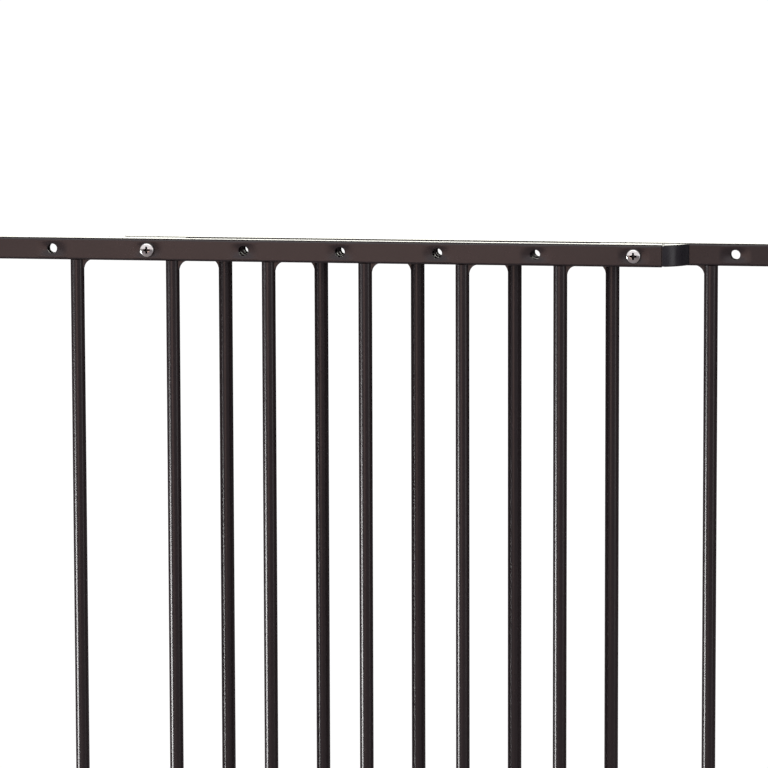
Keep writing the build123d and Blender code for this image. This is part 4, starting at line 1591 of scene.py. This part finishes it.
@dataclass(frozen=True)
class Studio:
    """Pale floor and backdrop, a dim room round the gate, soft boxes and a long lens."""

    floor_gap: float = 0.5
    floor_half_width: float = 90.0
    camera_place: tuple[float, float, float] = (0.9793, -2.9951, 1.0103)
    camera_yaw: float = -9.721
    camera_pitch: float = 7.014
    camera_roll: float = -0.172
    camera_lens: float = 220.1
    camera_sensor: float = 36.0
    backdrop: float = 1.05
    floor_front: str = "B0A9AC"
    floor_behind: str = "4A484A"
    front_colour: str = "F6EDF2"
    front_light: float = 1.1
    behind_colour: str = "F4F2F4"
    behind_light: float = 0.10
    floor_turn: Point = (0.5, 5.0)
    room_turn: Point = (-0.45, 0.1)
    camera_sight: float = 500.0
    boxes: tuple[SoftBox, ...] = (
        SoftBox("left_strip", (-1.05, -0.70, 0.12), (0.45, 0.0, 0.3), (0.42, 0.44), 17.0),
        SoftBox("back_box", (-0.05, 3.2, 1.28), (0.46, 0.0, 0.73), (2.8, 0.9), 28.0, "FFFEF4"),
        SoftBox("front_box", (-0.06, -2.5, 0.46), (0.46, 0.0, 0.7), (1.0, 0.62), 2.7, "FFD2C2"),
        SoftBox("top_box", (0.2, -2.0, 2.5), (0.46, 0.0, 0.7), (2.6, 1.1), 12.0),
        SoftBox("right_box", (2.4, -0.9, 0.7), (0.46, 0.0, 0.5), (0.5, 1.2), 2.4),
    )

    def build(self) -> None:
        """Make the floor, the room, the lamps and the camera."""
        self.build_floor()
        self.build_room()
        for box in self.boxes:
            box.hang()
        self.build_camera()

    def build_floor(self) -> None:
        """Lay the floor just under the lowest piece."""
        low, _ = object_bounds()
        data = bpy.data.meshes.new("studio_floor")
        mesh = bmesh.new()
        place = Matrix.Translation((0, 0, low[2] - self.floor_gap * MM))
        bmesh.ops.create_grid(mesh, x_segments=2, y_segments=2, size=self.floor_half_width,
                              matrix=place)
        mesh.to_mesh(data)
        mesh.free()
        data.materials.append(self.floor_material())
        floor = bpy.data.objects.new("studio_floor", data)
        bpy.context.scene.collection.objects.link(floor)
        floor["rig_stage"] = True

    def seen_white(self, tree: bpy.types.NodeTree, kind: str, shader: bpy.types.NodeSocket
                   ) -> bpy.types.NodeSocket:
        """Make a surface or the sky white for the eye, and keep its shader for the gate.

        Args:
            tree: Node tree of the material or the world.
            kind: Type of the white emitter's node.
            shader: What the gate is lit by.

        Returns:
            Output to link to the tree's output node.
        """
        white = add_node(tree, kind, {"Color": linear("FFFFFF"), "Strength": self.backdrop})
        rays = add_node(tree, "ShaderNodeLightPath")
        seen = add_node(tree, "ShaderNodeMixShader", None,
                        {0: rays.outputs["Is Camera Ray"], 1: shader, 2: white.outputs[0]})
        return seen.outputs["Shader"]

    def share_behind(self, tree: bpy.types.NodeTree, place: str, turn: Point
                     ) -> bpy.types.NodeSocket:
        """Share that climbs from 0 in front of the gate to 1 behind it.

        Args:
            tree: Node tree of the material or the world.
            place: Coordinates whose Y is read.
            turn: The Y where the climb starts and the Y where it ends.

        Returns:
            Output that carries the share.
        """
        coordinates = add_node(tree, "ShaderNodeTexCoord")
        axes = add_node(tree, "ShaderNodeSeparateXYZ", None, {"Vector": coordinates.outputs[place]})
        climb = add_node(tree, "ShaderNodeMapRange",
                         {"interpolation_type": "SMOOTHSTEP", "From Min": turn[0],
                          "From Max": turn[1]}, {"Value": axes.outputs["Y"]})
        return climb.outputs["Result"]

    def floor_material(self) -> bpy.types.Material:
        """Matt painted board: pale to the eye, and dim where the gate mirrors it."""
        material = bpy.data.materials.new("matt_painted_board")
        material.use_nodes = True
        tree = material.node_tree
        tree.nodes.clear()
        tone = add_node(tree, "ShaderNodeMix",
                        {"data_type": "RGBA", 6: linear(self.floor_front),
                         7: linear(self.floor_behind)},
                        {0: self.share_behind(tree, "Object", self.floor_turn)})
        board = add_node(tree, "ShaderNodeBsdfDiffuse", None, {"Color": tone.outputs[2]})
        seen = self.seen_white(tree, "ShaderNodeEmission", board.outputs["BSDF"])
        add_node(tree, "ShaderNodeOutputMaterial", None, {"Surface": seen})
        return material

    def build_room(self) -> None:
        """Light the gate dimly from the front, and hardly at all from above and behind."""
        world = bpy.data.worlds.new("studio_room")
        world.use_nodes = True
        tree = world.node_tree
        tree.nodes.clear()
        front, behind = (
            add_node(tree, "ShaderNodeBackground",
                     {"Color": linear(colour), "Strength": strength}).outputs["Background"]
            for colour, strength in ((self.front_colour, self.front_light),
                                     (self.behind_colour, self.behind_light)))
        room = add_node(tree, "ShaderNodeMixShader", None,
                        {0: self.share_behind(tree, "Generated", self.room_turn),
                         1: front, 2: behind})
        seen = self.seen_white(tree, "ShaderNodeBackground", room.outputs["Shader"])
        add_node(tree, "ShaderNodeOutputWorld", None, {"Surface": seen})
        bpy.context.scene.world = world

    def build_camera(self) -> None:
        """Stand the camera in front of the gate, to the right, looking a little down."""
        yaw, pitch, roll = (math.radians(angle) for angle in
                            (self.camera_yaw, self.camera_pitch, self.camera_roll))
        ahead = Vector((math.sin(yaw) * math.cos(pitch), math.cos(yaw) * math.cos(pitch),
                        -math.sin(pitch)))
        level = Vector((math.cos(yaw), -math.sin(yaw), 0))
        over = level.cross(ahead)
        right = math.cos(roll) * level + math.sin(roll) * over
        above = -math.sin(roll) * level + math.cos(roll) * over
        data = bpy.data.cameras.new("product_camera")
        data.lens = self.camera_lens
        data.sensor_width = self.camera_sensor
        data.clip_end = self.camera_sight
        camera = bpy.data.objects.new("product_camera", data)
        bpy.context.scene.collection.objects.link(camera)
        camera.matrix_world = sides_to(Vector(self.camera_place), right, above)
        bpy.context.scene.camera = camera


def main() -> None:
    """Build the gate and its studio."""
    logging.basicConfig(level=logging.INFO, format="%(name)s %(message)s")
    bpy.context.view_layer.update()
    bpy.context.scene.view_settings.view_transform = "Standard"
    for side in Side:
        BarredPanel(side).build()
    Hinges().build()
    Latch().build()
    Keepers().build()
    Studio().build()


if __name__ == "__main__":
    main()
